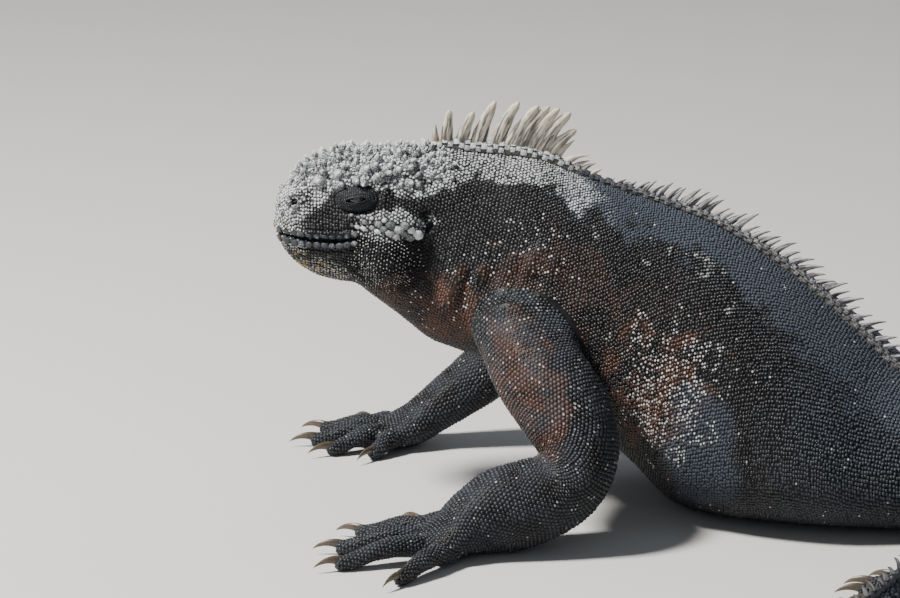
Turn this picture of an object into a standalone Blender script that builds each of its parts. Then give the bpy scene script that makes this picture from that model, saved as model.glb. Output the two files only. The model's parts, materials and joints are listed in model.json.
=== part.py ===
"""A life-size marine iguana at rest on a floor, its chest raised on its forearms, its tail curled
round its left side.

The body is drawn straight, as stations along a line from snout to tail tip, and is then bent in plan.
Lengths are in millimetres until an object is made. The animal faces -X, and its left side faces -Y.
"""

import math
import random

import bpy
import bmesh
import numpy as np

MM = 0.001
GAP = 0.3  # left between parts that touch
ORIGIN = (110.0, -11.0)  # the belly's resting place, which becomes the model's origin
FLOOR_SLAB = 40.0  # thickness of the block that trims what reaches below the floor

SKIN = {"head": (0.20, 0.20, 0.20), "trunk": (0.065, 0.065, 0.07), "limb": (0.09, 0.09, 0.095)}
EYE_COLOUR = (0.045, 0.03, 0.02)

# One row for each station from snout to vent: the top and bottom of the section as (distance along
# the body, height), half its width, how far down the widest place lies, and how square its top and
# bottom are, where 2 is an ellipse and less is a ridge.
STATIONS = (
    ((-142.0, 149.5), (-142.0, 141.5), 7.0, 0.50, 2.2, 2.2),
    ((-140.5, 157.0), (-140.5, 134.5), 12.5, 0.50, 2.2, 2.2),
    ((-136.5, 163.0), (-136.5, 127.5), 16.5, 0.50, 2.3, 2.3),
    ((-130.5, 168.8), (-130.5, 121.0), 19.5, 0.50, 2.3, 2.3),
    ((-121.5, 174.5), (-121.5, 115.5), 22.0, 0.52, 2.3, 2.3),
    ((-110.5, 178.0), (-111.0, 112.6), 24.0, 0.54, 2.3, 2.3),
    ((-98.5, 179.2), (-101.5, 111.0), 26.5, 0.55, 2.3, 2.2),
    ((-86.0, 179.8), (-93.0, 104.5), 29.0, 0.56, 2.2, 2.1),
    ((-72.0, 180.3), (-84.0, 97.5), 29.5, 0.56, 2.1, 2.0),
    ((-57.0, 180.5), (-75.0, 90.0), 29.0, 0.54, 1.9, 2.0),
    ((-42.0, 178.4), (-65.0, 82.0), 30.5, 0.54, 1.75, 2.0),
    ((-26.0, 177.0), (-52.0, 77.0), 34.5, 0.55, 1.7, 2.0),
    ((-10.0, 174.5), (-36.0, 71.0), 40.0, 0.56, 1.7, 2.0),
    ((6.0, 168.0), (-14.0, 60.0), 46.0, 0.57, 1.75, 2.0),
    ((26.0, 160.6), (10.0, 44.0), 53.0, 0.59, 1.8, 2.1),
    ((48.0, 153.2), (36.0, 22.0), 60.0, 0.61, 1.85, 2.2),
    ((74.0, 143.9), (60.0, 2.0), 68.0, 0.63, 1.9, 2.3),
    ((100.0, 129.5), (88.0, -2.0), 74.0, 0.64, 1.9, 2.4),
    ((125.0, 112.5), (120.0, -2.0), 76.0, 0.64, 1.9, 2.4),
    ((150.0, 92.0), (150.0, -2.0), 72.0, 0.63, 1.9, 2.3),
    ((172.0, 73.5), (176.0, -2.0), 62.0, 0.60, 1.9, 2.2),
    ((200.0, 62.0), (204.0, -2.0), 49.0, 0.57, 1.9, 2.1),
    ((232.0, 58.0), (234.0, -2.0), 38.0, 0.55, 1.85, 2.1),
    ((262.0, 54.0), (262.0, -1.5), 29.0, 0.55, 1.8, 2.1),
    ((300.0, 50.0), (300.0, -1.2), 22.5, 0.56, 1.8, 2.1),
    ((360.0, 46.0), (360.0, -1.2), 18.0, 0.58, 1.8, 2.0),
    ((440.0, 41.0), (440.0, -1.0), 14.5, 0.58, 1.8, 2.0),
    ((540.0, 34.0), (540.0, -0.8), 10.5, 0.58, 1.8, 2.0),
    ((650.0, 24.0), (650.0, -0.6), 7.5, 0.56, 1.8, 2.0),
    ((760.0, 15.0), (760.0, -0.5), 5.2, 0.54, 1.9, 2.0),
    ((850.0, 7.5), (850.0, -0.4), 3.0, 0.52, 2.0, 2.0),
    ((876.0, 4.0), (876.0, 0.5), 1.5, 0.50, 2.0, 2.0),
)
# Places where the head and neck swell out or, if negative, sink in: centre (along, out to the side, up),
# reach in each of those directions, and how far the skin moves.
SWELLS = (
    ((-99.5, 27.0, 158.5), (14.0, 12.0, 8.5), -3.6),  # the eye's hollow
    ((-98.0, 20.0, 171.0), (19.0, 10.0, 6.5), 3.2),  # brow
    ((-117.0, 20.0, 161.0), (9.0, 10.0, 8.0), -1.8),  # between the eye and the nostril
    ((-131.5, 15.0, 157.5), (7.5, 8.0, 7.5), 1.8),  # around the nostril
    ((-118.0, 22.0, 142.6), (24.0, 14.0, 4.6), 1.3),  # upper lip
    ((-119.0, 20.0, 132.5), (22.0, 14.0, 5.6), 1.3),  # lower lip
    ((-87.0, 28.0, 128.0), (16.0, 14.0, 17.0), 4.6),  # jowl
    ((-79.0, 28.0, 163.0), (11.0, 12.0, 10.0), -1.6),  # temple
    ((-63.0, 28.0, 133.0), (13.0, 14.0, 34.0), -3.2),  # behind the jaw
)
# Turns of the midline in plan: from, to (distance along the body) and degrees, to the left if negative.
BENDS = (
    (20.0, 250.0, -35.0),
    (250.0, 426.0, -138.0),
    (432.0, 490.0, 54.0),
    (516.0, 616.0, -60.0),
    (660.0, 800.0, -20.0),
)
BEND_EASE = 31  # each turn starts and ends over about this distance

NECK_CUT = 9.68
# Where the body is parted, as places in STATIONS, and the sides and rings of each piece.
PIECES = (
    ("head", 0.0, NECK_CUT, 32, 24),
    ("neck", NECK_CUT, 12.0, 32, 6),
    ("chest", 12.0, 15.5, 32, 8),
    ("belly", 15.5, 20.0, 32, 10),
    ("pelvis", 20.0, 23.0, 32, 7),
    ("tail_base", 23.0, 25.25, 16, 10),
    ("tail_middle", 25.25, 26.6, 16, 9),
    ("tail_rear", 26.6, 28.0, 12, 10),
    ("tail_tip", 28.0, 31.0, 10, 11),
)

# Crest along the back: distance along the body, length of a spine and its backward lean in degrees.
CREST = (
    (-66.0, 5.0, 5.0), (-62.0, 13.0, 0.0), (-57.0, 20.0, 2.0), (-50.5, 21.0, 12.0),
    (-42.5, 28.0, 15.0), (-33.5, 29.5, 22.0), (-26.5, 30.0, 25.0), (-21.8, 30.5, 26.0),
    (-17.2, 30.5, 25.0), (-12.6, 30.0, 24.0), (-8.6, 23.0, 28.0), (-5.0, 17.0, 24.0),
    (-0.5, 16.0, 44.0), (4.0, 12.0, 42.0), (8.5, 11.0, 40.0), (13.5, 9.0, 38.0),
)
CURVED_FROM = 14.0  # spines longer than this curve back
BLUNT_FROM = 19.0  # and those longer than this end in a blunt tip
SUNK = 4.0  # how deep a spine's root reaches below the skin
CREST_BACK_FROM = 20.0  # behind here the spines follow the two curves below
CREST_STEP = ((20.0, 5.2), (80.0, 6.0), (262.0, 7.0), (500.0, 9.0), (860.0, 14.0))
CREST_LENGTH = ((20.0, 6.0), (40.0, 12.0), (60.0, 16.0), (110.0, 18.0), (160.0, 16.0), (230.0, 12.0),
                (300.0, 12.0), (480.0, 13.0), (600.0, 9.0), (720.0, 5.0), (870.0, 2.0))
CREST_LEAN = ((20.0, 12.0), (60.0, 17.0), (110.0, 27.0), (300.0, 30.0), (870.0, 40.0))

EYE = (-100.2, 17.6, 158.3)
EYE_RADIUS = 8.0
EYE_MESH = (12, 8)
LID_RADIUS = 9.7
NOSTRIL = (-132.0, 156.0)  # along and up
EAR = (-66.0, 147.5)
MOUTH_HEIGHT = 138.6
MOUTH_CORNER = -99.5
MOUTH_GROOVE = (1.1, 2.6)  # height and depth of the line between the lips
TUBERCLE_PITCH = 8.8

# Limbs: rows of centre point, half width in the plane that the limb bends in, half width across
# that plane, and the direction across it.
FRONT_LEFT = (
    ((-23.0, -22.0, 106.0), 20.0, 17.0, (0, -1, 0.3)),
    ((-20.0, -42.0, 97.0), 22.0, 19.0, (0, -1, 0.3)),
    ((-12.0, -60.0, 82.0), 23.0, 20.0, (0, -1, 0.2)),
    ((-0.5, -73.0, 66.5), 22.3, 21.0, (0, -1, 0.1)),
    ((7.0, -80.0, 52.5), 20.5, 21.5, (0, -1, 0)),
    ((6.3, -85.0, 39.5), 19.0, 21.5, (0, -1, 0)),
    ((-2.0, -88.0, 30.0), 19.6, 21.0, (0, -1, 0)),
    ((-16.5, -91.0, 24.4), 21.4, 20.5, (0, -1, 0)),
    ((-31.0, -93.5, 20.8), 21.0, 19.5, (0, -1, 0)),
    ((-44.5, -96.0, 15.8), 16.5, 18.5, (0, -1, 0)),
    ((-55.0, -99.0, 10.5), 11.3, 20.0, (0, -1, 0)),
    ((-65.0, -102.5, 7.0), 7.8, 18.5, (0, -1, 0)),
    ((-71.0, -105.0, 5.4), 4.2, 11.0, (0, -1, 0)),
)
FRONT_RIGHT = (
    ((-12.0, 22.0, 104.0), 22.0, 17.0, (0, 1, 0.3)),
    ((-11.0, 42.0, 96.0), 23.0, 19.0, (0, 1, 0.3)),
    ((-11.5, 62.0, 83.0), 21.5, 19.0, (0, 1, 0.3)),
    ((-14.0, 76.0, 69.0), 19.5, 18.5, (0, 1, 0.2)),
    ((-20.0, 84.5, 56.5), 18.0, 18.0, (0, 1, 0.2)),
    ((-30.0, 88.0, 45.0), 16.5, 17.5, (0, 1, 0.1)),
    ((-42.0, 88.5, 34.5), 15.0, 16.5, (0, 1, 0)),
    ((-54.0, 88.0, 25.5), 13.5, 15.5, (0, 1, 0)),
    ((-65.0, 87.0, 17.5), 12.0, 15.0, (0, 1, 0)),
    ((-73.0, 86.0, 12.0), 11.0, 17.0, (0, 1, 0)),
    ((-81.0, 85.5, 9.0), 9.4, 19.0, (0, 1, 0)),
    ((-89.0, 85.0, 6.6), 7.0, 17.5, (0, 1, 0)),
    ((-94.0, 84.5, 5.4), 4.2, 10.5, (0, 1, 0)),
)
FRONT_CUTS = (5.0, 9.0)  # elbow and wrist, as places in the rows above

# Hind legs are drawn from the hip: forward, outward and up.
HIP_AT = 238.0
HIND = (
    ((2.0, 12.0, 31.0), 21.0, 18.0, (0, 0, 1)),
    ((2.0, 34.0, 34.0), 23.0, 20.0, (0, 0, 1)),
    ((5.0, 54.0, 36.0), 19.5, 19.5, (0, 0, 1)),
    ((8.0, 70.0, 33.5), 16.0, 18.0, (0, 0, 1)),
    ((3.0, 82.5, 28.0), 14.0, 17.0, (0, 0, 1)),
    ((-10.0, 88.5, 22.0), 13.0, 15.5, (0, 0, 1)),
    ((-26.0, 88.5, 17.0), 11.8, 13.5, (0, 0, 1)),
    ((-39.5, 90.0, 13.5), 8.4, 11.5, (0, 0, 1)),
    ((-47.0, 100.0, 11.0), 7.6, 10.4, (0, 0, 1)),
    ((-40.0, 111.0, 9.6), 9.6, 9.4, (0, 0, 1)),
    ((-25.5, 116.5, 7.8), 13.5, 8.2, (0, 0, 1)),
    ((-12.0, 121.0, 6.4), 14.0, 7.0, (0, 0, 1)),
    ((-7.5, 122.5, 5.4), 8.5, 4.4, (0, 0, 1)),
)
HIND_CUTS = (4.0, 8.0)
LIMB_SIDES = 14
LIMB_RINGS = {"upper": 10, "lower": 8, "foot": 6}

# Toes: root and claw root on the floor plan, height of the arch, and half thickness at the root.
FINGERS_LEFT = (
    ((-49.0, -85.0), (-71.0, -58.0), 12.5, 5.2),
    ((-57.0, -91.0), (-99.0, -74.0), 14.5, 5.0),
    ((-61.0, -99.0), (-108.5, -98.0), 14.5, 5.0),
    ((-61.0, -107.0), (-108.0, -123.0), 14.0, 4.8),
    ((-54.0, -113.0), (-79.0, -146.0), 12.5, 4.8),
)
FINGERS_RIGHT = (
    ((-79.0, 77.5), (-95.0, 57.5), 12.5, 4.8),
    ((-82.0, 80.5), (-117.0, 65.0), 14.0, 4.8),
    ((-84.0, 84.5), (-126.0, 82.0), 14.0, 4.8),
    ((-83.0, 89.5), (-121.5, 103.0), 13.5, 4.6),
    ((-79.5, 93.5), (-98.0, 117.0), 12.0, 4.6),
)
TOES = (
    ((-16.0, 109.0), (13.0, 109.5), 11.5, 4.8),
    ((-11.0, 113.5), (18.0, 122.5), 12.5, 4.8),
    ((-10.0, 119.5), (16.5, 134.0), 12.5, 4.8),
    ((-14.0, 125.5), (7.5, 146.0), 12.5, 4.8),
    ((-23.0, 126.5), (-11.0, 144.0), 11.5, 4.6),
)
TOE_SIDES = 6
TOE_RINGS = 5
TOE_END = 3.2  # half thickness where the claw starts
CLAW_LENGTH = 13.5
CLAW_RADIUS = 2.5
CLAW_DROP = 62.0  # degrees that a claw turns down over its length


def through(knots, values, at):
    """A smooth curve through the values at the knots, read at each of the places asked for."""
    knots, values = np.asarray(knots, float), np.asarray(values, float)
    flat = values.reshape(len(knots), -1)
    step = np.diff(knots)[:, None]
    slope = np.diff(flat, axis=0) / step
    inner = (step[1:] * slope[:-1] + step[:-1] * slope[1:]) / (step[1:] + step[:-1])
    tangent = np.vstack([slope[:1], inner, slope[-1:]])
    at = np.atleast_1d(np.asarray(at, float))
    i = np.clip(np.searchsorted(knots, at, side="right") - 1, 0, len(knots) - 2)
    t = ((at - knots[i]) / step[i, 0])[:, None]
    h = step[i]
    curve = (
        (1 + 2 * t) * (1 - t) ** 2 * flat[i] + t * (1 - t) ** 2 * h * tangent[i]
        + t * t * (3 - 2 * t) * flat[i + 1] + t * t * (t - 1) * h * tangent[i + 1]
    )
    return curve.reshape(len(at), *values.shape[1:])


def plan_line():
    """Heading and position of the midline for each millimetre along the body."""
    first, last = -200, 900
    places = np.arange(first, last + 1, dtype=float)
    turning = np.zeros(len(places))
    for start, end, degrees in BENDS:
        inside = (places >= start) & (places < end)
        turning[inside] = math.radians(degrees) / inside.sum()
    ease = np.hanning(BEND_EASE + 2)[1:-1]
    turning = np.convolve(turning, ease / ease.sum(), mode="same")
    heading = np.cumsum(turning)
    x = first + np.concatenate([[0], np.cumsum(np.cos(heading[:-1]))])
    y = np.concatenate([[0], np.cumsum(np.sin(heading[:-1]))])
    return places, heading, x, y


PLACES, HEADING, PLAN_X, PLAN_Y = plan_line()


def bent(points):
    """Points drawn on the straight body (along, to the left, up), put on the bent midline."""
    points = np.asarray(points, float)
    along = points[..., 0]
    heading = np.interp(along, PLACES, HEADING)
    x = np.interp(along, PLACES, PLAN_X) + points[..., 1] * np.sin(heading)
    y = np.interp(along, PLACES, PLAN_Y) - points[..., 1] * np.cos(heading)
    return np.stack([x, y, points[..., 2]], axis=-1)


def section(place, angles, grow=0.0):
    """The ring at a place in STATIONS, before bending. Angle 0 is the top, and it grows to the left."""
    rows = [s[0] + s[1] + s[2:] for s in STATIONS]
    station = through(range(len(STATIONS)), rows, place)[0]
    top_a, top_z, low_a, low_z, half, widest, square_top, square_low = station
    top, low = np.array([top_a, top_z]), np.array([low_a, low_z])
    middle = top + (low - top) * widest
    tall = np.linalg.norm(low - top)
    c, s = np.cos(angles), np.sin(angles)
    power = 2 / np.where(c > 0, square_top, square_low)
    rise = np.abs(c) ** power
    reach = np.sign(s) * np.abs(s) ** power
    arm = np.where((c > 0)[:, None], top - middle, low - middle)
    arm = arm * (1 + grow / tall * 2)
    flat = middle + arm * rise[:, None]
    outward = np.stack([flat[:, 0] - middle[0], reach * half, flat[:, 1] - middle[1]], axis=-1)
    points = np.stack([flat[:, 0], reach * (half + grow), flat[:, 1]], axis=-1)
    return points + outward / np.linalg.norm(outward, axis=1)[:, None] * swelling(points)[:, None]


def swelling(points):
    """How far the skin moves out at each of the points of the straight body."""
    moved = np.zeros(len(points))
    for centre, reach, amount in SWELLS:
        for side in (1, -1):
            away = (points - np.array(centre) * (1, side, 1)) / reach
            moved += amount * np.clip(1 - (away**2).sum(axis=1), 0, None) ** 2
    return moved


SIDE_PLACES = np.arange(0.5, 13.0, 0.05)
SIDE_ANGLES = np.radians(np.arange(25, 156, 1.0))
TOP_PLACES = np.linspace(0, len(STATIONS) - 1, 600)
TOP_ALONG = np.array([section(place, np.zeros(1))[0, 0] for place in TOP_PLACES])


def ring_angles(sides):
    return np.arange(sides) * 2 * math.pi / sides


def lofted(rings, tip_first=None, tip_last=None):
    """Points and faces of a closed tube through the rings, its ends filled flat or drawn to a tip."""
    sides = len(rings[0])
    points = [p for ring in rings for p in ring]
    faces = []
    for i in range(len(rings) - 1):
        for k in range(sides):
            a, b = i * sides + k, i * sides + (k + 1) % sides
            faces.append((a, b, b + sides, a + sides))
    for ring_start, tip, turn in ((0, tip_first, True), ((len(rings) - 1) * sides, tip_last, False)):
        loop = [ring_start + k for k in range(sides)]
        if turn:
            loop.reverse()
        if tip is None:
            faces.append(tuple(loop))
        else:
            points.append(tip)
            faces += [(loop[k], loop[(k + 1) % sides], len(points) - 1) for k in range(sides)]
    return np.array(points, float), faces


def made(name, points, faces):
    """A mesh object in metres, seen from the model's origin, with its faces pointing out."""
    shifted = (np.asarray(points, float) - np.array([*ORIGIN, 0.0])) * MM
    mesh = bpy.data.meshes.new(name)
    mesh.from_pydata([tuple(p) for p in shifted], [], faces)
    work = bmesh.new()
    work.from_mesh(mesh)
    bmesh.ops.recalc_face_normals(work, faces=work.faces)
    bmesh.ops.triangulate(work, faces=[f for f in work.faces if len(f.verts) > 4])
    work.to_mesh(mesh)
    work.free()
    obj = bpy.data.objects.new(name, mesh)
    bpy.context.scene.collection.objects.link(obj)
    return obj


def keep_largest(mesh):
    """Leaves only the largest closed surface of a mesh."""
    work = bmesh.new()
    work.from_mesh(mesh)
    bmesh.ops.triangulate(work, faces=work.faces)
    left, groups = set(work.faces), []
    while left:
        front = [left.pop()]
        group = list(front)
        while front:
            face = front.pop()
            for edge in face.edges:
                for other in edge.link_faces:
                    if other in left:
                        left.discard(other)
                        front.append(other)
                        group.append(other)
        groups.append(group)

    def volume(group):
        return sum(f.verts[0].co.dot(f.verts[1].co.cross(f.verts[2].co)) for f in group) / 6

    best = max(groups, key=volume)
    bmesh.ops.delete(work, geom=[f for g in groups if g is not best for f in g], context="FACES")
    work.to_mesh(mesh)
    work.free()


def combine(obj, others, operation):
    """One Boolean of an object with several others, applied. The others are then removed.

    The manifold solver is used because dozens of small cones stand close together on the head.
    """
    if not others:
        return obj
    group = bpy.data.collections.new(obj.name + "_pieces")
    bpy.context.scene.collection.children.link(group)
    for other in others:
        bpy.context.scene.collection.objects.unlink(other)
        group.objects.link(other)
    change = obj.modifiers.new("combine", "BOOLEAN")
    change.operation = operation
    change.operand_type = "COLLECTION"
    change.collection = group
    change.solver = "MANIFOLD"
    bpy.context.view_layer.update()
    graph = bpy.context.evaluated_depsgraph_get()
    mesh = bpy.data.meshes.new_from_object(obj.evaluated_get(graph))
    obj.modifiers.clear()
    obj.data = mesh
    for other in others:
        bpy.data.objects.remove(other)
    bpy.data.collections.remove(group)
    keep_largest(mesh)
    return obj


def body_rings(start, end, sides, rings, grow=0.0):
    places = np.linspace(start, end, rings)
    return [bent(section(place, ring_angles(sides), grow)) for place in places]


def body_piece(name, start, end, sides, rings, grow=0.0):
    """One length of the body. Neighbours stand a gap apart, each drawn back from the cut."""
    loops = body_rings(start, end, sides, rings, grow)
    for loop in loops:
        loop[:, 2] = np.maximum(loop[:, 2], -grow)
    tips = []
    for at, end_of_body in ((0, start == 0), (-1, end == len(STATIONS) - 1)):
        inward = along_body(start if at == 0 else end) * (1 if at == 0 else -1)
        if end_of_body:
            tips.append(loops[at].mean(axis=0) - inward)
        else:
            loops[at] = loops[at] + inward * GAP / 2
            tips.append(loops[at].mean(axis=0))
    return made(name, *lofted(loops, *tips))


def along_body(place):
    """The direction towards the tail at a place in STATIONS, level with the floor."""
    heading = np.interp(section(place, np.zeros(1))[0, 0], PLACES, HEADING)
    return np.array([math.cos(heading), math.sin(heading), 0.0])


def direction(vector):
    vector = np.asarray(vector, float)
    return vector / np.linalg.norm(vector)


def surface(place, angle):
    """A point of the body's surface, its outward normal and the direction towards the tail."""
    step = 0.01
    here = bent(section(place, np.array([angle])))[0]
    behind = bent(section(place + step, np.array([angle])))[0]
    beside = bent(section(place, np.array([angle + step])))[0]
    back = direction(behind - here)
    return here, direction(np.cross(back, beside - here)) * -1, back


def place_of(along):
    """The place in STATIONS whose top lies this far along the body."""
    return float(np.interp(along, TOP_ALONG, TOP_PLACES))


def top_of(place):
    """How far along the body the top of a place in STATIONS lies."""
    return float(section(place, np.zeros(1))[0, 0])


def half_chord(length):
    """Half of a spine's width at its root, seen from the side."""
    return 1.7 + 0.07 * length


def spine(name, along, length, lean):
    """A flattened, back-curved blade on the midline of the back, its root sunk in."""
    place = place_of(along)
    root, up, back = surface(place, 0.0)
    under = bent(section(place, np.array([math.pi])))[0]
    side = np.cross(up, back)
    thick = 0.8 + 0.03 * length
    half = half_chord(length)
    angle = math.radians(lean)
    levels = [(-1.0, 1.0), (0.0, 1.0)]
    if length > CURVED_FROM:
        levels.append((0.5, 0.86))
    if length > BLUNT_FROM:
        levels.append((0.86, 0.5))
    rings = []
    for share, size in levels:
        turn = angle * max(share, 0)
        rise = share * length * (up * math.cos(turn) + back * math.sin(turn))
        middle = root + (rise if share >= 0 else direction(under - root) * SUNK)
        rings.append([middle + back * half * size, middle + side * thick * size,
                      middle - back * half * size, middle - side * thick * size])
    tip = root + length * (up * math.cos(angle) + back * math.sin(angle))
    return made(name, *lofted(rings, None, tip))


def on_side(along, up):
    """The place in STATIONS and the angle, on the left side, where the skin has this along and height."""
    points = np.array([section(place, SIDE_ANGLES) for place in SIDE_PLACES])
    miss = (points[..., 0] - along) ** 2 + (points[..., 2] - up) ** 2
    i, k = np.unravel_index(np.argmin(miss), miss.shape)
    return points[i, k], SIDE_PLACES[i], SIDE_ANGLES[k]


def crest_rows():
    """Every spine of the crest: distance along the body, length and lean."""
    rows = list(CREST)
    draw = random.Random(4)
    along = CREST_BACK_FROM
    last = STATIONS[-1][0][0] - 12
    while along < last:
        length = float(np.interp(along, *zip(*CREST_LENGTH)))
        lean = float(np.interp(along, *zip(*CREST_LEAN)))
        rows.append((along, length * draw.uniform(0.86, 1.1), lean + draw.uniform(-4, 4)))
        along += float(np.interp(along, *zip(*CREST_STEP)))
    return rows


def cone(name, centre, up, radius, height, sides, sunk):
    """A low pointed bump that stands on a surface."""
    across = direction(np.cross(up, (0.3, 0.9, 0.1)))
    other = np.cross(up, across)
    base = centre - np.asarray(up) * sunk
    ring = [base + radius * (across * math.cos(t) + other * math.sin(t)) for t in ring_angles(sides)]
    return made(name, *closed_cone(ring, centre + np.asarray(up) * height))


def closed_cone(ring, tip):
    sides = len(ring)
    faces = [(k, (k + 1) % sides, sides) for k in range(sides)]
    faces.append(tuple(range(sides - 1, -1, -1)))
    return np.array([*ring, tip]), faces


def ball(name, centre, radii, around=12, levels=8):
    """An ellipsoid, drawn in the straight body's directions."""
    rings = []
    for i in range(1, levels):
        polar = math.pi * i / levels
        ring = [np.array([math.cos(polar), math.sin(polar) * math.cos(t), math.sin(polar) * math.sin(t)])
                * radii + centre for t in ring_angles(around)]
        rings.append(ring)
    ends = np.array([radii[0], 0, 0])
    return made(name, *lofted(rings, np.array(centre) + ends, np.array(centre) - ends))


def mouth_cutter():
    """A thin horseshoe that cuts the line between the lips."""
    tall, deep = MOUTH_GROOVE
    rows = []
    for side in (1, -1):
        places = np.linspace(6.0, 0.8, 9) if side == 1 else np.linspace(0.8, 6.0, 9)
        for place in places:
            ring = section(place, np.radians(np.arange(40, 141, 2.0)) * side)
            hit = ring[np.argmin(np.abs(ring[:, 2] - MOUTH_HEIGHT))]
            rows.append(hit)
    centre = np.array([-112.0, 0.0, MOUTH_HEIGHT])
    rings = []
    for hit in rows:
        out = direction((hit - centre) * (1, 1, 0))
        fade = 1.0 if hit[0] < MOUTH_CORNER - 3 else 0.55
        inner, outer = hit - out * deep * fade, hit + out * 4
        rings.append([inner + (0, 0, -tall * 0.25), outer + (0, 0, -tall), outer + (0, 0, tall),
                      inner + (0, 0, tall * 0.25)])
    return made("mouth_cutter", *lofted(rings))


def side_point(point, side):
    """A place on the head that is drawn for the left, put on the side asked for."""
    return np.array([point[0], -side * point[1], point[2]])


def add_head_features(head):
    """Lids, orbits, ears, nostrils and the mouth, then the tubercles of the crown."""
    lids = [ball("lid", side_point(EYE, s), (LID_RADIUS,) * 3) for s in (1, -1)]
    combine(head, lids + tubercles(), "UNION")
    cutters = [mouth_cutter()]
    for s in (1, -1):
        cutters.append(ball("socket", side_point(EYE, s), (EYE_RADIUS + GAP,) * 3, *EYE_MESH))
        opening = side_point((EYE[0] - 0.6, 27.6, EYE[2] - 0.6), s)
        cutters.append(ball("slit", opening, (5.6, 4.6, 1.7), 8, 6))
        cutters.append(ball("nostril", side_point(on_side(*NOSTRIL)[0], s), (1.9, 3.2, 1.7), 8, 6))
        cutters.append(ball("ear", side_point(on_side(*EAR)[0] + (0, 4.4, 0), s), (4.4, 6.2, 6.2), 12, 6))
    combine(head, cutters, "DIFFERENCE")


def tubercles():
    """Blunt cones over the crown, and smaller ones down the cheeks."""
    draw = random.Random(11)
    cones = []
    angles = np.radians(np.arange(-150, 151, 3.0))
    half = len(angles) // 2
    for row, along in enumerate(np.arange(-133.0, -58.0, TUBERCLE_PITCH * 0.87)):
        place = place_of(along)
        ring = section(place, angles)
        arc = np.concatenate([[0], np.cumsum(np.linalg.norm(np.diff(ring, axis=0), axis=1))])
        arc -= arc[half]
        for k in range(-12, 13):
            offset = (k + 0.5 * (row % 2)) * TUBERCLE_PITCH + draw.uniform(-1.3, 1.3)
            angle = float(np.interp(offset, arc, angles))
            here = place + draw.uniform(-0.14, 0.14)
            spot = section(here, np.array([angle]))[0]
            size = tubercle_size(spot) * draw.uniform(0.75, 1.2)
            if size < 0.35:
                continue
            point, up, back = surface(here, angle)
            tilt = direction(up + back * draw.uniform(-0.25, 0.4))
            cones.append(cone("tubercle", point, tilt, 4.5 * size, 3.7 * size, 5, 1.2))
    return cones


def tubercle_size(spot):
    """How large a tubercle stands at a place on the head, or 0 for none."""
    along, side, up = spot[0], abs(spot[1]), spot[2]
    eye = math.hypot((along - EYE[0]) / 14.0, (up - EYE[2]) / 9.5)
    ear = math.hypot((along - EAR[0]) / 6.5, (up - EAR[1]) / 8.0)
    if eye < 1 or ear < 1:
        return 0.0
    if up > 163.0:
        return float(np.interp(along, (-136.0, -126.0, -66.0, -56.0), (0.6, 1.0, 1.0, 0.5)))
    below_eye = 150.0 - (along + 100.0) * 0.28
    if -103.0 < along < -70.0 and abs(up - below_eye) < 7.0:
        return 0.7
    return 0.0


def limb_rings(rows, start, end, sides, count):
    """Rings of a limb between two places in its rows."""
    values = np.array([[*p, wide, thick, *n] for p, wide, thick, n in rows], float)
    places = np.linspace(start, end, count)
    step = 0.02
    last = len(rows) - 1
    here = through(range(len(rows)), values, places)
    ahead = through(range(len(rows)), values, np.minimum(places + step, last))
    behind = through(range(len(rows)), values, np.maximum(places - step, 0))
    rings = []
    for now, after, before in zip(here, ahead, behind):
        forward = direction(after[:3] - before[:3])
        across = direction(np.cross(forward, now[5:]))
        thickness = np.cross(across, forward)
        rings.append([
            now[:3] + across * now[3] * math.sin(t) + thickness * now[4] * math.cos(t)
            for t in ring_angles(sides)
        ])
    return [np.array(r) for r in rings]


def pulled_back(rings, at_start, at_end):
    """The end rings drawn back by half a gap where the limb goes on in another part."""
    for flag, end, inner in ((at_start, 0, 1), (at_end, -1, -2)):
        if flag:
            forward = direction(rings[inner].mean(axis=0) - rings[end].mean(axis=0))
            rings[end] = rings[end] + forward * GAP / 2
    return rings


def toe(rows, claw_at):
    """A toe and its claw. Gives the toe's rings and tip, then the claw's rings and tip."""
    (x0, y0), (x1, y1), arch, thick = rows
    root, end = np.array([x0, y0]), np.array([x1, y1])
    run = end - root
    heights = (
        (0.0, thick + 1.6, thick),
        (0.3, arch - thick * 0.95, thick * 0.97),
        (0.62, arch * 0.5 + 1.2, thick * 0.9),
        (0.86, TOE_END + 1.4, TOE_END * 1.12),
        (1.0, TOE_END + 0.6, TOE_END),
    )
    knots = [h[0] for h in heights]
    values = np.array([[*(root + run * share), z, r] for share, z, r in heights])
    line = through(knots, values, np.linspace(0, 1, TOE_RINGS))
    forward = direction([*run, 0])
    across = np.array([-forward[1], forward[0], 0])
    rings = []
    for x, y, z, radius in line:
        centre = np.array([x, y, z])
        rings.append([centre + across * radius * math.sin(t) + np.array([0, 0, 1]) * radius * math.cos(t)
                      for t in ring_angles(TOE_SIDES)])
    tip = np.array([*end, TOE_END + 0.2]) + forward * TOE_END * 0.8
    start = np.array([*end, TOE_END + 1.4]) - forward * 1.5
    return rings, tip, claw(start, forward, across, claw_at)


def claw(start, forward, across, length):
    """A curved, side-flattened claw."""
    steps = 4
    turn = math.radians(CLAW_DROP)
    point = np.array(start)
    rings = []
    pitch = math.radians(-22)
    for i in range(steps):
        share = i / steps
        radius = CLAW_RADIUS * (1 - share) ** 0.8
        ahead = forward * math.cos(pitch) + np.array([0, 0, -1]) * math.sin(pitch)
        up = np.cross(across, ahead) * -1
        up = up if up[2] > 0 else -up
        rings.append([point + across * radius * 0.62 * math.sin(t) + up * radius * math.cos(t)
                      for t in ring_angles(5)])
        point = point + ahead * length / steps
        pitch += turn / steps
    point[2] = max(point[2], 0.4)
    return rings, point


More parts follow.
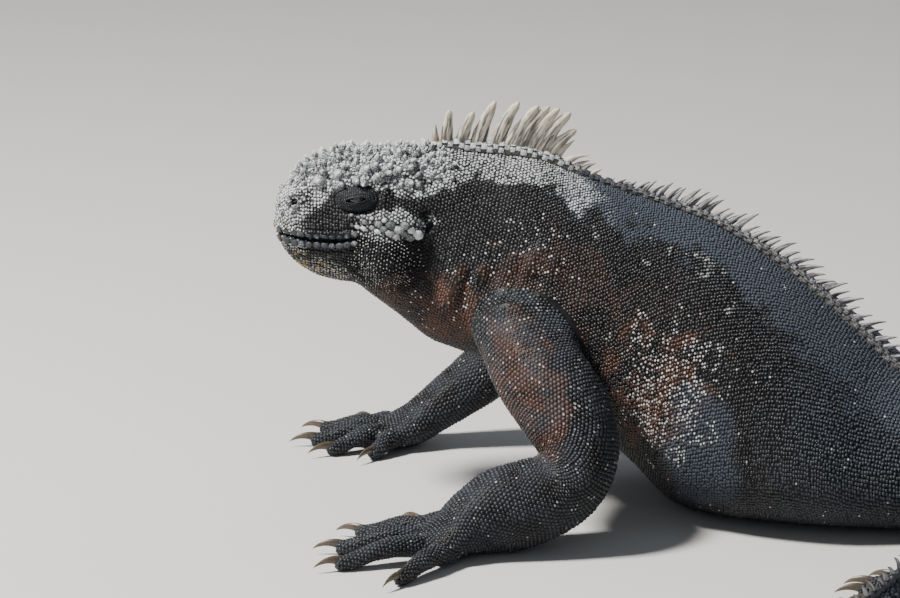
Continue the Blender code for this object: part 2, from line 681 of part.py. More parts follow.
def foot_piece(name, palm_rings, toes, placed):
    """A hand or foot: the palm, five toes and five claws, trimmed flat on the floor."""
    foot = made(name, *lofted(palm_rings, None, palm_rings[-1].mean(axis=0)
                              + direction(palm_rings[-1].mean(axis=0) - palm_rings[-2].mean(axis=0)) * 1.0))
    pieces = []
    for rows in toes:
        rings, tip, (claw_rings, claw_tip) = toe(rows, CLAW_LENGTH)
        pieces.append(made("toe", *lofted([placed(r) for r in rings], None, placed([tip])[0])))
        pieces.append(made("claw", *lofted([placed(r) for r in claw_rings], None, placed([claw_tip])[0])))
    combine(foot, pieces, "UNION")
    combine(foot, [floor_slab()], "DIFFERENCE")
    return foot


def floor_slab():
    """A block whose top is the floor."""
    wide = 700.0
    low, high = -FLOOR_SLAB, 0.0
    ring = [(-wide, -wide), (wide, -wide), (wide, wide), (-wide, wide)]
    return made("floor_slab", *lofted([[np.array([x, y, z]) for x, y in ring] for z in (low, high)]))


def limb(names, rows, cuts, toes, placed, trunk):
    """Upper limb, lower limb and foot. The root is cut to the trunk that it grows from."""
    upper_name, lower_name, foot_name = names
    first, second = cuts
    last = len(rows) - 1
    for name, start, end, kind in ((upper_name, 0.0, first, "upper"), (lower_name, first, second, "lower")):
        rings = [placed(r) for r in limb_rings(rows, start, end, LIMB_SIDES, LIMB_RINGS[kind])]
        part = made(name, *lofted(pulled_back(rings, kind == "lower", True)))
        combine(part, [body_piece(*p, grow=GAP) for p in trunk], "DIFFERENCE")
        combine(part, [floor_slab()], "DIFFERENCE")
    rings = [placed(r) for r in limb_rings(rows, second, last, LIMB_SIDES, LIMB_RINGS["foot"])]
    foot_piece(foot_name, pulled_back(rings, True, False), toes, placed)


def from_hip(side):
    """Places drawn from the hip, forward, outward and up, on one side of the body."""
    heading = float(np.interp(HIP_AT, PLACES, HEADING))
    hip = bent(np.array([HIP_AT, 0.0, 0.0]))
    forward = np.array([-math.cos(heading), -math.sin(heading), 0.0])
    outward = np.array([math.sin(heading), -math.cos(heading), 0.0]) * side
    up = np.array([0.0, 0.0, 1.0])

    def placed(points):
        points = np.asarray(points, float)
        return hip + points[:, :1] * forward + points[:, 1:2] * outward + points[:, 2:] * up

    return placed


def as_drawn(points):
    return np.asarray(points, float)


def dressed(obj, colour, roughness=0.6):
    """Gives an object its own material and rounds its shading where it is round."""
    finish = bpy.data.materials.new(obj.name)
    finish.use_nodes = True
    shader = finish.node_tree.nodes["Principled BSDF"]
    shader.inputs["Base Color"].default_value = (*colour, 1.0)
    shader.inputs["Roughness"].default_value = roughness
    obj.data.materials.clear()
    obj.data.materials.append(finish)
    obj.data.shade_smooth()
    obj.data.set_sharp_from_angle(angle=math.radians(50))


def trunk_and_tail():
    """The lengths of the body, with the features of the head and the spines that stand on each."""
    pieces = {row[0]: body_piece(*row) for row in PIECES}
    add_head_features(pieces["head"])
    spines = {name: [] for name in pieces}
    for along, length, lean in crest_rows():
        clear = half_chord(length) + GAP
        for name, start, end, _, _ in PIECES:
            if top_of(start) + clear < along < top_of(end) - clear:
                spines[name].append(spine("spine", along, length, lean))
    for name, blades in spines.items():
        combine(pieces[name], blades, "UNION")


def eyes():
    for side, name in ((1, "eye_left"), (-1, "eye_right")):
        eye = ball(name, side_point(EYE, side), (EYE_RADIUS,) * 3, *EYE_MESH)
        dressed(eye, EYE_COLOUR, 0.1)


def legs():
    """The four legs, each cut to the lengths of the body that it meets."""
    longer = 0.05
    met = [("trunk", start - longer, end + longer, sides, rings) for _, start, end, sides, rings in PIECES]
    for word, rows, toes in (("left", FRONT_LEFT, FINGERS_LEFT), ("right", FRONT_RIGHT, FINGERS_RIGHT)):
        names = (f"upper_arm_{word}", f"forearm_{word}", f"hand_{word}")
        limb(names, rows, FRONT_CUTS, toes, as_drawn, met[1:4])
    for word, side in (("left", 1), ("right", -1)):
        names = (f"thigh_{word}", f"shank_{word}", f"foot_{word}")
        limb(names, HIND, HIND_CUTS, TOES, from_hip(side), met[3:6])


def skin_colour(name):
    if name in ("head", "neck"):
        return SKIN["head"]
    if name in ("chest", "belly", "pelvis") or name.startswith("tail"):
        return SKIN["trunk"]
    return SKIN["limb"]


def main():
    for obj in list(bpy.data.objects):
        bpy.data.objects.remove(obj)
    trunk_and_tail()
    eyes()
    legs()
    for obj in bpy.data.objects:
        if not obj.data.materials:
            dressed(obj, skin_colour(obj.name))


main()
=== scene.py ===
"""The looks of a marine iguana at rest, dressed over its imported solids.

One skin covers the whole animal. Scales, tubercles, spines, lids, claws and eyes are laid over it.
Lengths are in millimetres, in the frame of the shoulder, until a mesh is made. The animal faces -X,
and its left side faces -Y.
"""

import json
import math
import random

import bmesh
import bpy
import numpy as np
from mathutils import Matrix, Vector, noise
from mathutils.bvhtree import BVHTree
from mathutils.kdtree import KDTree

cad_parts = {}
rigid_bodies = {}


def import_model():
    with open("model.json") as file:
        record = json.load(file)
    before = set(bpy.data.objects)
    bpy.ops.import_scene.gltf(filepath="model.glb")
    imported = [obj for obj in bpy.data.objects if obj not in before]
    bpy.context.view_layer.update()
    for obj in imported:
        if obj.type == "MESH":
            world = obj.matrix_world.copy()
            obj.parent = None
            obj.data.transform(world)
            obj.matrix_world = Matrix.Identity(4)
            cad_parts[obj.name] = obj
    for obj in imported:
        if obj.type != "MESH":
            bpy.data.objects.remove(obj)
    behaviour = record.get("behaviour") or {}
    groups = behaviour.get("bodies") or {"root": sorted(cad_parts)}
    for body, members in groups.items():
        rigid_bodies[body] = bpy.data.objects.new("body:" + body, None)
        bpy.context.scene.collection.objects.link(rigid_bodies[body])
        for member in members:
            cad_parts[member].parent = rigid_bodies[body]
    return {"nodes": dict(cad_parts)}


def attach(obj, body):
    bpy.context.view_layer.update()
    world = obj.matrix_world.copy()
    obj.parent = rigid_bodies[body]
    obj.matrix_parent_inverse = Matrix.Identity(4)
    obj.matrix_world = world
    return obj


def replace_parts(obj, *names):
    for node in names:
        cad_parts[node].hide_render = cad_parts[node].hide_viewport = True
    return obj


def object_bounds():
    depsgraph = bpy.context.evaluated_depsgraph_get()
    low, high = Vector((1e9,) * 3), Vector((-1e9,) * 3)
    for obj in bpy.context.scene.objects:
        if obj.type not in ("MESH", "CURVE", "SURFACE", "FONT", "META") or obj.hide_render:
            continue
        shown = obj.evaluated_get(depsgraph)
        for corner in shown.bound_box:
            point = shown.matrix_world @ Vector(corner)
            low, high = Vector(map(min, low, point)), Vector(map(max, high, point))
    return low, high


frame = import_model()
CAD_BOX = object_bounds()

MM = 0.001
ORIGIN = (110.0, -11.0)  # the model's origin, seen from the shoulder
SCALE_HIGH = 0.7  # how far the scales stand over the skin
VOXEL = 1.7  # size of the cells in which the forms are joined to one skin

# One row for each station from snout to vent: the top and bottom of the section as (distance along
# the body, height), half its width, how far down the widest place lies, and how square its top and
# bottom are, where 2 is an ellipse and less is a ridge.
STATIONS = (
    ((-142.0, 149.5), (-142.0, 141.5), 7.0, 0.50, 2.2, 2.2),
    ((-140.5, 157.0), (-140.5, 134.5), 12.5, 0.50, 2.2, 2.2),
    ((-136.5, 163.0), (-136.5, 127.5), 16.5, 0.50, 2.3, 2.3),
    ((-130.5, 168.8), (-130.5, 121.0), 19.5, 0.50, 2.3, 2.3),
    ((-121.5, 174.5), (-121.5, 115.5), 22.0, 0.52, 2.3, 2.3),
    ((-110.5, 178.0), (-111.0, 112.6), 24.0, 0.54, 2.3, 2.3),
    ((-98.5, 179.2), (-101.5, 111.0), 26.5, 0.55, 2.3, 2.2),
    ((-86.0, 179.8), (-93.0, 104.5), 29.0, 0.56, 2.2, 2.1),
    ((-72.0, 180.3), (-84.0, 97.5), 29.5, 0.56, 2.1, 2.0),
    ((-57.0, 180.5), (-75.0, 90.0), 29.0, 0.54, 1.9, 2.0),
    ((-42.0, 178.4), (-65.0, 82.0), 30.5, 0.54, 1.75, 2.0),
    ((-26.0, 177.0), (-52.0, 77.0), 34.5, 0.55, 1.7, 2.0),
    ((-10.0, 174.5), (-36.0, 71.0), 40.0, 0.56, 1.7, 2.0),
    ((6.0, 168.0), (-14.0, 60.0), 46.0, 0.57, 1.75, 2.0),
    ((26.0, 160.6), (10.0, 44.0), 53.0, 0.59, 1.8, 2.1),
    ((48.0, 153.2), (36.0, 22.0), 60.0, 0.61, 1.85, 2.2),
    ((74.0, 143.9), (60.0, 2.0), 68.0, 0.63, 1.9, 2.3),
    ((100.0, 129.5), (88.0, -2.0), 74.0, 0.64, 1.9, 2.4),
    ((125.0, 112.5), (120.0, -2.0), 76.0, 0.64, 1.9, 2.4),
    ((150.0, 92.0), (150.0, -2.0), 72.0, 0.63, 1.9, 2.3),
    ((172.0, 73.5), (176.0, -2.0), 62.0, 0.60, 1.9, 2.2),
    ((200.0, 62.0), (204.0, -2.0), 49.0, 0.57, 1.9, 2.1),
    ((232.0, 58.0), (234.0, -2.0), 38.0, 0.55, 1.85, 2.1),
    ((262.0, 54.0), (262.0, -1.5), 29.0, 0.55, 1.8, 2.1),
    ((300.0, 50.0), (300.0, -1.2), 22.5, 0.56, 1.8, 2.1),
    ((360.0, 46.0), (360.0, -1.2), 18.0, 0.58, 1.8, 2.0),
    ((440.0, 41.0), (440.0, -1.0), 14.5, 0.58, 1.8, 2.0),
    ((540.0, 34.0), (540.0, -0.8), 10.5, 0.58, 1.8, 2.0),
    ((650.0, 24.0), (650.0, -0.6), 7.5, 0.56, 1.8, 2.0),
    ((760.0, 15.0), (760.0, -0.5), 5.2, 0.54, 1.9, 2.0),
    ((850.0, 7.5), (850.0, -0.4), 3.0, 0.52, 2.0, 2.0),
    ((876.0, 4.0), (876.0, 0.5), 1.5, 0.50, 2.0, 2.0),
)
# Places where the head and neck swell out or, if negative, sink in: centre (along, out to the
# side, up), reach in each of those directions, and how far the skin moves.
SWELLS = (
    ((-99.5, 27.0, 158.5), (14.0, 12.0, 8.5), -3.6),  # the eye's hollow
    ((-98.0, 20.0, 171.0), (19.0, 10.0, 6.5), 3.2),  # brow
    ((-117.0, 20.0, 161.0), (9.0, 10.0, 8.0), -1.8),  # between the eye and the nostril
    ((-131.5, 15.0, 157.5), (7.5, 8.0, 7.5), 1.8),  # around the nostril
    ((-118.0, 22.0, 142.6), (24.0, 14.0, 4.6), 1.3),  # upper lip
    ((-119.0, 20.0, 132.5), (22.0, 14.0, 5.6), 1.3),  # lower lip
    ((-87.0, 28.0, 128.0), (16.0, 14.0, 17.0), 4.6),  # jowl
    ((-79.0, 28.0, 163.0), (11.0, 12.0, 10.0), -1.6),  # temple
    ((-63.0, 28.0, 133.0), (13.0, 14.0, 34.0), -3.2),  # behind the jaw
)
# Turns of the midline in plan: from, to (distance along the body) and degrees, to the left if negative.
BENDS = (
    (20.0, 250.0, -35.0),
    (250.0, 426.0, -138.0),
    (432.0, 490.0, 54.0),
    (516.0, 616.0, -60.0),
    (660.0, 800.0, -20.0),
)
BEND_EASE = 31  # each turn starts and ends over about this distance


# Crest along the back: distance along the body, length of a spine and its backward lean in degrees.
CREST = (
    (-66.0, 5.0, 5.0), (-62.0, 13.0, 0.0), (-57.0, 20.0, 2.0), (-50.5, 21.0, 12.0),
    (-42.5, 28.0, 15.0), (-33.5, 29.5, 22.0), (-26.5, 30.0, 25.0), (-21.8, 30.5, 26.0),
    (-17.2, 30.5, 25.0), (-12.6, 30.0, 24.0), (-8.6, 23.0, 28.0), (-5.0, 17.0, 24.0),
    (-0.5, 16.0, 44.0), (4.0, 12.0, 42.0), (8.5, 11.0, 40.0), (13.5, 9.0, 38.0),
)
BLUNT_FROM = 19.0  # and those longer than this end in a blunt tip
CREST_BACK_FROM = 20.0  # behind here the spines follow the two curves below
CREST_STEP = ((20.0, 3.0), (40.0, 3.6), (80.0, 4.0), (262.0, 4.8), (500.0, 6.5), (860.0, 11.0))
CREST_LENGTH = ((20.0, 6.0), (40.0, 12.0), (60.0, 16.0), (110.0, 18.0), (160.0, 16.0), (230.0, 12.0),
                (300.0, 12.0), (480.0, 13.0), (600.0, 9.0), (720.0, 5.0), (870.0, 2.0))
CREST_LEAN = ((20.0, 40.0), (50.0, 30.0), (110.0, 34.0), (300.0, 36.0), (870.0, 44.0))
# Height of the wall of plates that the spines rise from.
CREST_WALL = ((-68.0, 0.6), (-58.0, 4.4), (-24.0, 6.4), (-4.0, 5.0), (16.0, 2.4), (60.0, 4.4),
              (130.0, 4.8), (262.0, 3.4), (520.0, 2.2), (860.0, 0.8))


EYE = (-100.2, 17.6, 158.3)
EYE_RADIUS = 8.0
NOSTRIL = (-132.0, 156.0)  # along and up
EAR = (-66.0, 147.5)
MOUTH_CORNER = -99.5

# Limbs: rows of centre point, half width in the plane that the limb bends in, half width across
# that plane, and the direction across it.
FRONT_LEFT = (
    ((-23.0, -22.0, 106.0), 20.0, 17.0, (0, -1, 0.3)),
    ((-20.0, -42.0, 97.0), 22.0, 19.0, (0, -1, 0.3)),
    ((-12.0, -60.0, 82.0), 23.0, 20.0, (0, -1, 0.2)),
    ((-0.5, -73.0, 66.5), 22.3, 21.0, (0, -1, 0.1)),
    ((7.0, -80.0, 52.5), 20.5, 21.5, (0, -1, 0)),
    ((6.3, -85.0, 39.5), 19.0, 21.5, (0, -1, 0)),
    ((-2.0, -88.0, 30.0), 19.6, 21.0, (0, -1, 0)),
    ((-16.5, -91.0, 24.4), 21.4, 20.5, (0, -1, 0)),
    ((-31.0, -93.5, 20.8), 21.0, 19.5, (0, -1, 0)),
    ((-44.5, -96.0, 15.8), 16.5, 18.5, (0, -1, 0)),
    ((-55.0, -99.0, 10.5), 11.3, 20.0, (0, -1, 0)),
    ((-65.0, -102.5, 7.0), 7.8, 18.5, (0, -1, 0)),
    ((-71.0, -105.0, 5.4), 4.2, 11.0, (0, -1, 0)),
)
FRONT_RIGHT = (
    ((-12.0, 22.0, 104.0), 22.0, 17.0, (0, 1, 0.3)),
    ((-11.0, 42.0, 96.0), 23.0, 19.0, (0, 1, 0.3)),
    ((-11.5, 62.0, 83.0), 21.5, 19.0, (0, 1, 0.3)),
    ((-14.0, 76.0, 69.0), 19.5, 18.5, (0, 1, 0.2)),
    ((-20.0, 84.5, 56.5), 18.0, 18.0, (0, 1, 0.2)),
    ((-30.0, 88.0, 45.0), 16.5, 17.5, (0, 1, 0.1)),
    ((-42.0, 88.5, 34.5), 15.0, 16.5, (0, 1, 0)),
    ((-54.0, 88.0, 25.5), 13.5, 15.5, (0, 1, 0)),
    ((-65.0, 87.0, 17.5), 12.0, 15.0, (0, 1, 0)),
    ((-73.0, 86.0, 12.0), 11.0, 17.0, (0, 1, 0)),
    ((-81.0, 85.5, 9.0), 9.4, 19.0, (0, 1, 0)),
    ((-89.0, 85.0, 6.6), 7.0, 17.5, (0, 1, 0)),
    ((-94.0, 84.5, 5.4), 4.2, 10.5, (0, 1, 0)),
)

# Hind legs are drawn from the hip: forward, outward and up.
HIP_AT = 238.0
HIND = (
    ((2.0, 12.0, 31.0), 21.0, 18.0, (0, 0, 1)),
    ((2.0, 34.0, 34.0), 23.0, 20.0, (0, 0, 1)),
    ((5.0, 54.0, 36.0), 19.5, 19.5, (0, 0, 1)),
    ((8.0, 70.0, 33.5), 16.0, 18.0, (0, 0, 1)),
    ((3.0, 82.5, 28.0), 14.0, 17.0, (0, 0, 1)),
    ((-10.0, 88.5, 22.0), 13.0, 15.5, (0, 0, 1)),
    ((-26.0, 88.5, 17.0), 11.8, 13.5, (0, 0, 1)),
    ((-39.5, 90.0, 13.5), 8.4, 11.5, (0, 0, 1)),
    ((-47.0, 100.0, 11.0), 7.6, 10.4, (0, 0, 1)),
    ((-40.0, 111.0, 9.6), 9.6, 9.4, (0, 0, 1)),
    ((-25.5, 116.5, 7.8), 13.5, 8.2, (0, 0, 1)),
    ((-12.0, 121.0, 6.4), 14.0, 7.0, (0, 0, 1)),
    ((-7.5, 122.5, 5.4), 8.5, 4.4, (0, 0, 1)),
)

# Toes: root and claw root on the floor plan, height of the arch, and half thickness at the root.
FINGERS_LEFT = (
    ((-49.0, -85.0), (-71.0, -58.0), 12.5, 5.2),
    ((-57.0, -91.0), (-99.0, -74.0), 14.5, 5.0),
    ((-61.0, -99.0), (-108.5, -98.0), 14.5, 5.0),
    ((-61.0, -107.0), (-108.0, -123.0), 14.0, 4.8),
    ((-54.0, -113.0), (-79.0, -146.0), 12.5, 4.8),
)
FINGERS_RIGHT = (
    ((-79.0, 77.5), (-95.0, 57.5), 12.5, 4.8),
    ((-82.0, 80.5), (-117.0, 65.0), 14.0, 4.8),
    ((-84.0, 84.5), (-126.0, 82.0), 14.0, 4.8),
    ((-83.0, 89.5), (-121.5, 103.0), 13.5, 4.6),
    ((-79.5, 93.5), (-98.0, 117.0), 12.0, 4.6),
)
TOES = (
    ((-16.0, 109.0), (13.0, 109.5), 11.5, 4.8),
    ((-11.0, 113.5), (18.0, 122.5), 12.5, 4.8),
    ((-10.0, 119.5), (16.5, 134.0), 12.5, 4.8),
    ((-14.0, 125.5), (7.5, 146.0), 12.5, 4.8),
    ((-23.0, 126.5), (-11.0, 144.0), 11.5, 4.6),
)
TOE_END = 3.2
CLAW_LENGTH = 15.5
CLAW_RADIUS = 3.0
CLAW_DROP = 62.0
def through(knots, values, at):
    """A smooth curve through the values at the knots, read at each of the places asked for."""
    knots, values = np.asarray(knots, float), np.asarray(values, float)
    flat = values.reshape(len(knots), -1)
    step = np.diff(knots)[:, None]
    slope = np.diff(flat, axis=0) / step
    inner = (step[1:] * slope[:-1] + step[:-1] * slope[1:]) / (step[1:] + step[:-1])
    tangent = np.vstack([slope[:1], inner, slope[-1:]])
    at = np.atleast_1d(np.asarray(at, float))
    i = np.clip(np.searchsorted(knots, at, side="right") - 1, 0, len(knots) - 2)
    t = ((at - knots[i]) / step[i, 0])[:, None]
    h = step[i]
    curve = (
        (1 + 2 * t) * (1 - t) ** 2 * flat[i] + t * (1 - t) ** 2 * h * tangent[i]
        + t * t * (3 - 2 * t) * flat[i + 1] + t * t * (t - 1) * h * tangent[i + 1]
    )
    return curve.reshape(len(at), *values.shape[1:])


def plan_line():
    """Heading and position of the midline for each millimetre along the body."""
    first, last = -200, 900
    places = np.arange(first, last + 1, dtype=float)
    turning = np.zeros(len(places))
    for start, end, degrees in BENDS:
        inside = (places >= start) & (places < end)
        turning[inside] = math.radians(degrees) / inside.sum()
    ease = np.hanning(BEND_EASE + 2)[1:-1]
    turning = np.convolve(turning, ease / ease.sum(), mode="same")
    heading = np.cumsum(turning)
    x = first + np.concatenate([[0], np.cumsum(np.cos(heading[:-1]))])
    y = np.concatenate([[0], np.cumsum(np.sin(heading[:-1]))])
    return places, heading, x, y


PLACES, HEADING, PLAN_X, PLAN_Y = plan_line()


def bent(points):
    """Points drawn on the straight body (along, to the left, up), put on the bent midline."""
    points = np.asarray(points, float)
    along = points[..., 0]
    heading = np.interp(along, PLACES, HEADING)
    x = np.interp(along, PLACES, PLAN_X) + points[..., 1] * np.sin(heading)
    y = np.interp(along, PLACES, PLAN_Y) - points[..., 1] * np.cos(heading)
    return np.stack([x, y, points[..., 2]], axis=-1)


def section(place, angles, grow=0.0):
    """The ring at a place in STATIONS, before bending. Angle 0 is the top, and it grows to the left."""
    rows = [s[0] + s[1] + s[2:] for s in STATIONS]
    station = through(range(len(STATIONS)), rows, place)[0]
    top_a, top_z, low_a, low_z, half, widest, square_top, square_low = station
    top, low = np.array([top_a, top_z]), np.array([low_a, low_z])
    middle = top + (low - top) * widest
    tall = np.linalg.norm(low - top)
    c, s = np.cos(angles), np.sin(angles)
    power = 2 / np.where(c > 0, square_top, square_low)
    rise = np.abs(c) ** power
    reach = np.sign(s) * np.abs(s) ** power
    arm = np.where((c > 0)[:, None], top - middle, low - middle)
    arm = arm * (1 + grow / tall * 2)
    flat = middle + arm * rise[:, None]
    outward = np.stack([flat[:, 0] - middle[0], reach * half, flat[:, 1] - middle[1]], axis=-1)
    points = np.stack([flat[:, 0], reach * (half + grow), flat[:, 1]], axis=-1)
    return points + outward / np.linalg.norm(outward, axis=1)[:, None] * swelling(points)[:, None]


def swelling(points):
    """How far the skin moves out at each of the points of the straight body."""
    moved = np.zeros(len(points))
    for centre, reach, amount in SWELLS:
        for side in (1, -1):
            away = (points - np.array(centre) * (1, side, 1)) / reach
            moved += amount * np.clip(1 - (away**2).sum(axis=1), 0, None) ** 2
    return moved


def from_hip(side):
    """Places drawn from the hip, forward, outward and up, on one side of the body."""
    heading = float(np.interp(HIP_AT, PLACES, HEADING))
    hip = bent(np.array([HIP_AT, 0.0, 0.0]))
    forward = np.array([-math.cos(heading), -math.sin(heading), 0.0])
    outward = np.array([math.sin(heading), -math.cos(heading), 0.0]) * side
    up = np.array([0.0, 0.0, 1.0])

    def placed(points):
        points = np.asarray(points, float)
        return hip + points[:, :1] * forward + points[:, 1:2] * outward + points[:, 2:] * up

    return placed


def as_drawn(points):
    return np.asarray(points, float)


def direction(vector):
    vector = np.asarray(vector, float)
    return vector / np.maximum(np.linalg.norm(vector, axis=-1, keepdims=True), 1e-9)


def ease(values, start, end):
    """0 before the start, 1 after the end and a smooth step between them."""
    t = np.clip((np.asarray(values, float) - start) / (end - start), 0, 1)
    return t * t * (3 - 2 * t)


# Grids of the flesh

BODY_SIDES = 96
BODY_STEP = 1.5
LIMB_SIDES = 56
FLOOR_CLEAR = 0.35
TOP_PLACES = np.linspace(0, len(STATIONS) - 1, 900)
TOP_ALONG = np.array([section(place, np.zeros(1))[0, 0] for place in TOP_PLACES])
CUTS = (
    ("head", 9.68), ("neck", 12.0), ("chest", 15.5), ("belly", 20.0), ("pelvis", 23.0),
    ("tail_base", 25.25), ("tail_middle", 26.6), ("tail_rear", 28.0), ("tail_tip", 31.0),
)


def place_of(along):
    return np.interp(along, TOP_ALONG, TOP_PLACES)


def body_grid():
    """Rings of the body as it lies, the same rings on the straight body, and their places."""
    places = place_of(np.arange(TOP_ALONG[0], TOP_ALONG[-1], BODY_STEP))
    angles = np.arange(BODY_SIDES) * 2 * math.pi / BODY_SIDES
    straight = np.array([section(place, angles, -SCALE_HIGH) for place in places])
    lying = bent(straight)
    lying[..., 2] = np.maximum(lying[..., 2], FLOOR_CLEAR)
    return lying, straight, places


def limb_grid(rows, placed, count=170):
    """Rings of a limb, a little inside its scales."""
    values = np.array([[*p, wide, thick, *n] for p, wide, thick, n in rows], float)
    last = len(rows) - 1
    places = np.linspace(0, last, count)
    step = 0.02
    here = through(range(last + 1), values, places)
    ahead = through(range(last + 1), values, np.minimum(places + step, last))
    behind = through(range(last + 1), values, np.maximum(places - step, 0))
    angles = np.arange(LIMB_SIDES) * 2 * math.pi / LIMB_SIDES
    rings = []
    for now, after, before in zip(here, ahead, behind):
        forward = direction(after[:3] - before[:3])
        across = direction(np.cross(forward, now[5:]))
        thickness = np.cross(across, forward)
        wide, thick = now[3] - SCALE_HIGH, now[4] - SCALE_HIGH
        outward = across * wide * np.sin(angles)[:, None]
        rings.append(now[:3] + outward + thickness * thick * np.cos(angles)[:, None])
    lying = np.array([placed(ring) for ring in rings])
    lying[..., 2] = np.maximum(lying[..., 2], FLOOR_CLEAR)
    return lying


def toe_line(rows, count):
    """Centre points and half thicknesses along a toe, with its knuckles, and the way it points."""
    (x0, y0), (x1, y1), arch, thick = rows
    root, end = np.array([x0, y0]), np.array([x1, y1])
    heights = (
        (0.0, thick + 1.6, thick),
        (0.3, arch - thick * 0.95, thick * 0.97),
        (0.62, arch * 0.5 + 1.2, thick * 0.9),
        (0.86, TOE_END + 1.4, TOE_END * 1.12),
        (1.0, TOE_END + 0.6, TOE_END),
    )
    values = np.array([[*(root + (end - root) * share), z, r] for share, z, r in heights])
    shares = np.linspace(0, 1, count)
    line = through([h[0] for h in heights], values, shares)
    knuckles = 1.0 - 0.08 * (0.5 + 0.5 * np.cos(shares * 2 * math.pi * 3))
    return line[:, :3], line[:, 3] * knuckles, direction([*(end - root), 0])


def toe_grid(rows, placed, count=44, sides=24):
    """Rings of a toe, closed in over the claw's root."""
    centres, radii, forward = toe_line(rows, count)
    across = np.array([-forward[1], forward[0], 0])
    angles = np.arange(sides) * 2 * math.pi / sides
    ring = across * np.sin(angles)[:, None] + np.array([0, 0, 1.0]) * np.cos(angles)[:, None]
    rings = [placed(c + ring * r * 1.1) for c, r in zip(centres, radii)]
    closing = [placed(centres[-1] + forward * ahead * TOE_END + ring * radii[-1] * size * 1.1)
               for ahead, size in ((0.35, 0.86), (0.62, 0.6))]
    lying = np.array(rings + closing)
    lying[..., 2] = np.maximum(lying[..., 2], FLOOR_CLEAR)
    return lying


def closed_grid(grid):
    """Points and faces of a closed tube through the rings of a grid, facing out."""
    count, sides = grid.shape[:2]
    points = np.concatenate([grid.reshape(-1, 3), grid[:1].mean(axis=1), grid[-1:].mean(axis=1)])
    i, k = np.meshgrid(np.arange(count - 1), np.arange(sides), indexing="ij")
    a, b = i * sides + k, i * sides + (k + 1) % sides
    quads = np.stack([a, b, b + sides, a + sides], axis=-1).reshape(-1, 4)
    first = [(k, (k + 1) % sides, count * sides) for k in range(sides)]
    start = (count - 1) * sides
    last = [(start + (k + 1) % sides, start + k, count * sides + 1) for k in range(sides)]
    faces = [tuple(q) for q in quads.tolist()] + [tuple(reversed(f)) for f in first + last]
    return points, faces


def placed_mesh(name, points, faces):
    """A mesh in metres, seen from the model's origin."""
    mesh = bpy.data.meshes.new(name)
    shifted = (np.asarray(points, float) - np.array([*ORIGIN, 0.0])) * MM
    mesh.from_pydata(shifted.tolist(), [], faces)
    return mesh


def linked(name, mesh):
    obj = bpy.data.objects.new(name, mesh)
    bpy.context.scene.collection.objects.link(obj)
    return obj


def facing_out(mesh):
    work = bmesh.new()
    work.from_mesh(mesh)
    bmesh.ops.recalc_face_normals(work, faces=work.faces)
    work.to_mesh(mesh)
    work.free()


def joined(parts):
    """One list of points and faces from several."""
    points, faces, start = [], [], 0
    for part_points, part_faces in parts:
        points.append(part_points)
        faces += [tuple(v + start for v in face) for face in part_faces]
        start += len(part_points)
    return np.concatenate(points), faces


def evaluated_mesh(obj):
    """The object's mesh with its modifiers applied, in place of the old one."""
    graph = bpy.context.evaluated_depsgraph_get()
    graph.update()
    mesh = bpy.data.meshes.new_from_object(obj.evaluated_get(graph))
    obj.modifiers.clear()
    old = obj.data
    obj.data = mesh
    if old.users == 0:
        bpy.data.meshes.remove(old)
    mesh.name = obj.name
    return mesh


def mesh_points(mesh):
    """Vertices in millimetres, in the frame of the shoulder."""
    points = np.empty(len(mesh.vertices) * 3)
    mesh.vertices.foreach_get("co", points)
    return points.reshape(-1, 3) / MM + np.array([*ORIGIN, 0.0])


def set_points(mesh, points):
    shifted = (points - np.array([*ORIGIN, 0.0])) * MM
    mesh.vertices.foreach_set("co", shifted.astype(np.float32).ravel())
    mesh.update()


def vertex_normals(mesh):
    normals = np.empty(len(mesh.vertices) * 3)
    mesh.vertex_normals.foreach_get("vector", normals)
    return normals.reshape(-1, 3)


def edge_ends(mesh):
    ends = np.empty(len(mesh.edges) * 2, np.int64)
    mesh.edges.foreach_get("vertices", ends)
    return ends.reshape(-1, 2)


def mean_of_neighbours(values, ends, counts):
    total = np.empty_like(values)
    for axis in range(values.shape[1]):
        total[:, axis] = np.bincount(ends[:, 0], values[ends[:, 1], axis], len(values))
        total[:, axis] += np.bincount(ends[:, 1], values[ends[:, 0], axis], len(values))
    return total / counts[:, None]


def relaxed(values, ends, rounds, shares=(0.5, -0.53)):
    """Values smoothed over the mesh, by turns in and out so that the form keeps its size."""
    counts = np.maximum(np.bincount(ends.ravel(), minlength=len(values)), 1)
    for turn in range(rounds):
        share = shares[turn % len(shares)]
        values = values + share * (mean_of_neighbours(values, ends, counts) - values)
    return values


# Skin

# Grooves of the skin on the left side, as points (along, out to the side, up), depth and half width.
FOLDS = (
    (((-71, -28, 92), (-64, -31, 100), (-57, -33, 113), (-53, -33, 124)), 3.4, 2.6),
    (((-66, -30, 88), (-57, -33, 100), (-49, -35, 114), (-44, -35, 131)), 4.6, 3.0),
    (((-56, -31, 82), (-46, -35, 95), (-37, -38, 112), (-31, -38, 131)), 4.4, 3.2),
    (((-46, -34, 80), (-36, -39, 94), (-27, -42, 112), (-18, -41, 137)), 4.8, 3.4),
    (((-38, -38, 88), (-26, -43, 104), (-14, -45, 122), (-4, -43, 144)), 5.2, 3.8),
    (((6, -52, 122), (10, -60, 102), (20, -65, 84), (33, -70, 66)), 3.4, 4.2),
    (((-96, -27, 113), (-86, -27, 108), (-76, -28, 104), (-68, -29, 104)), 1.4, 2.2),
)
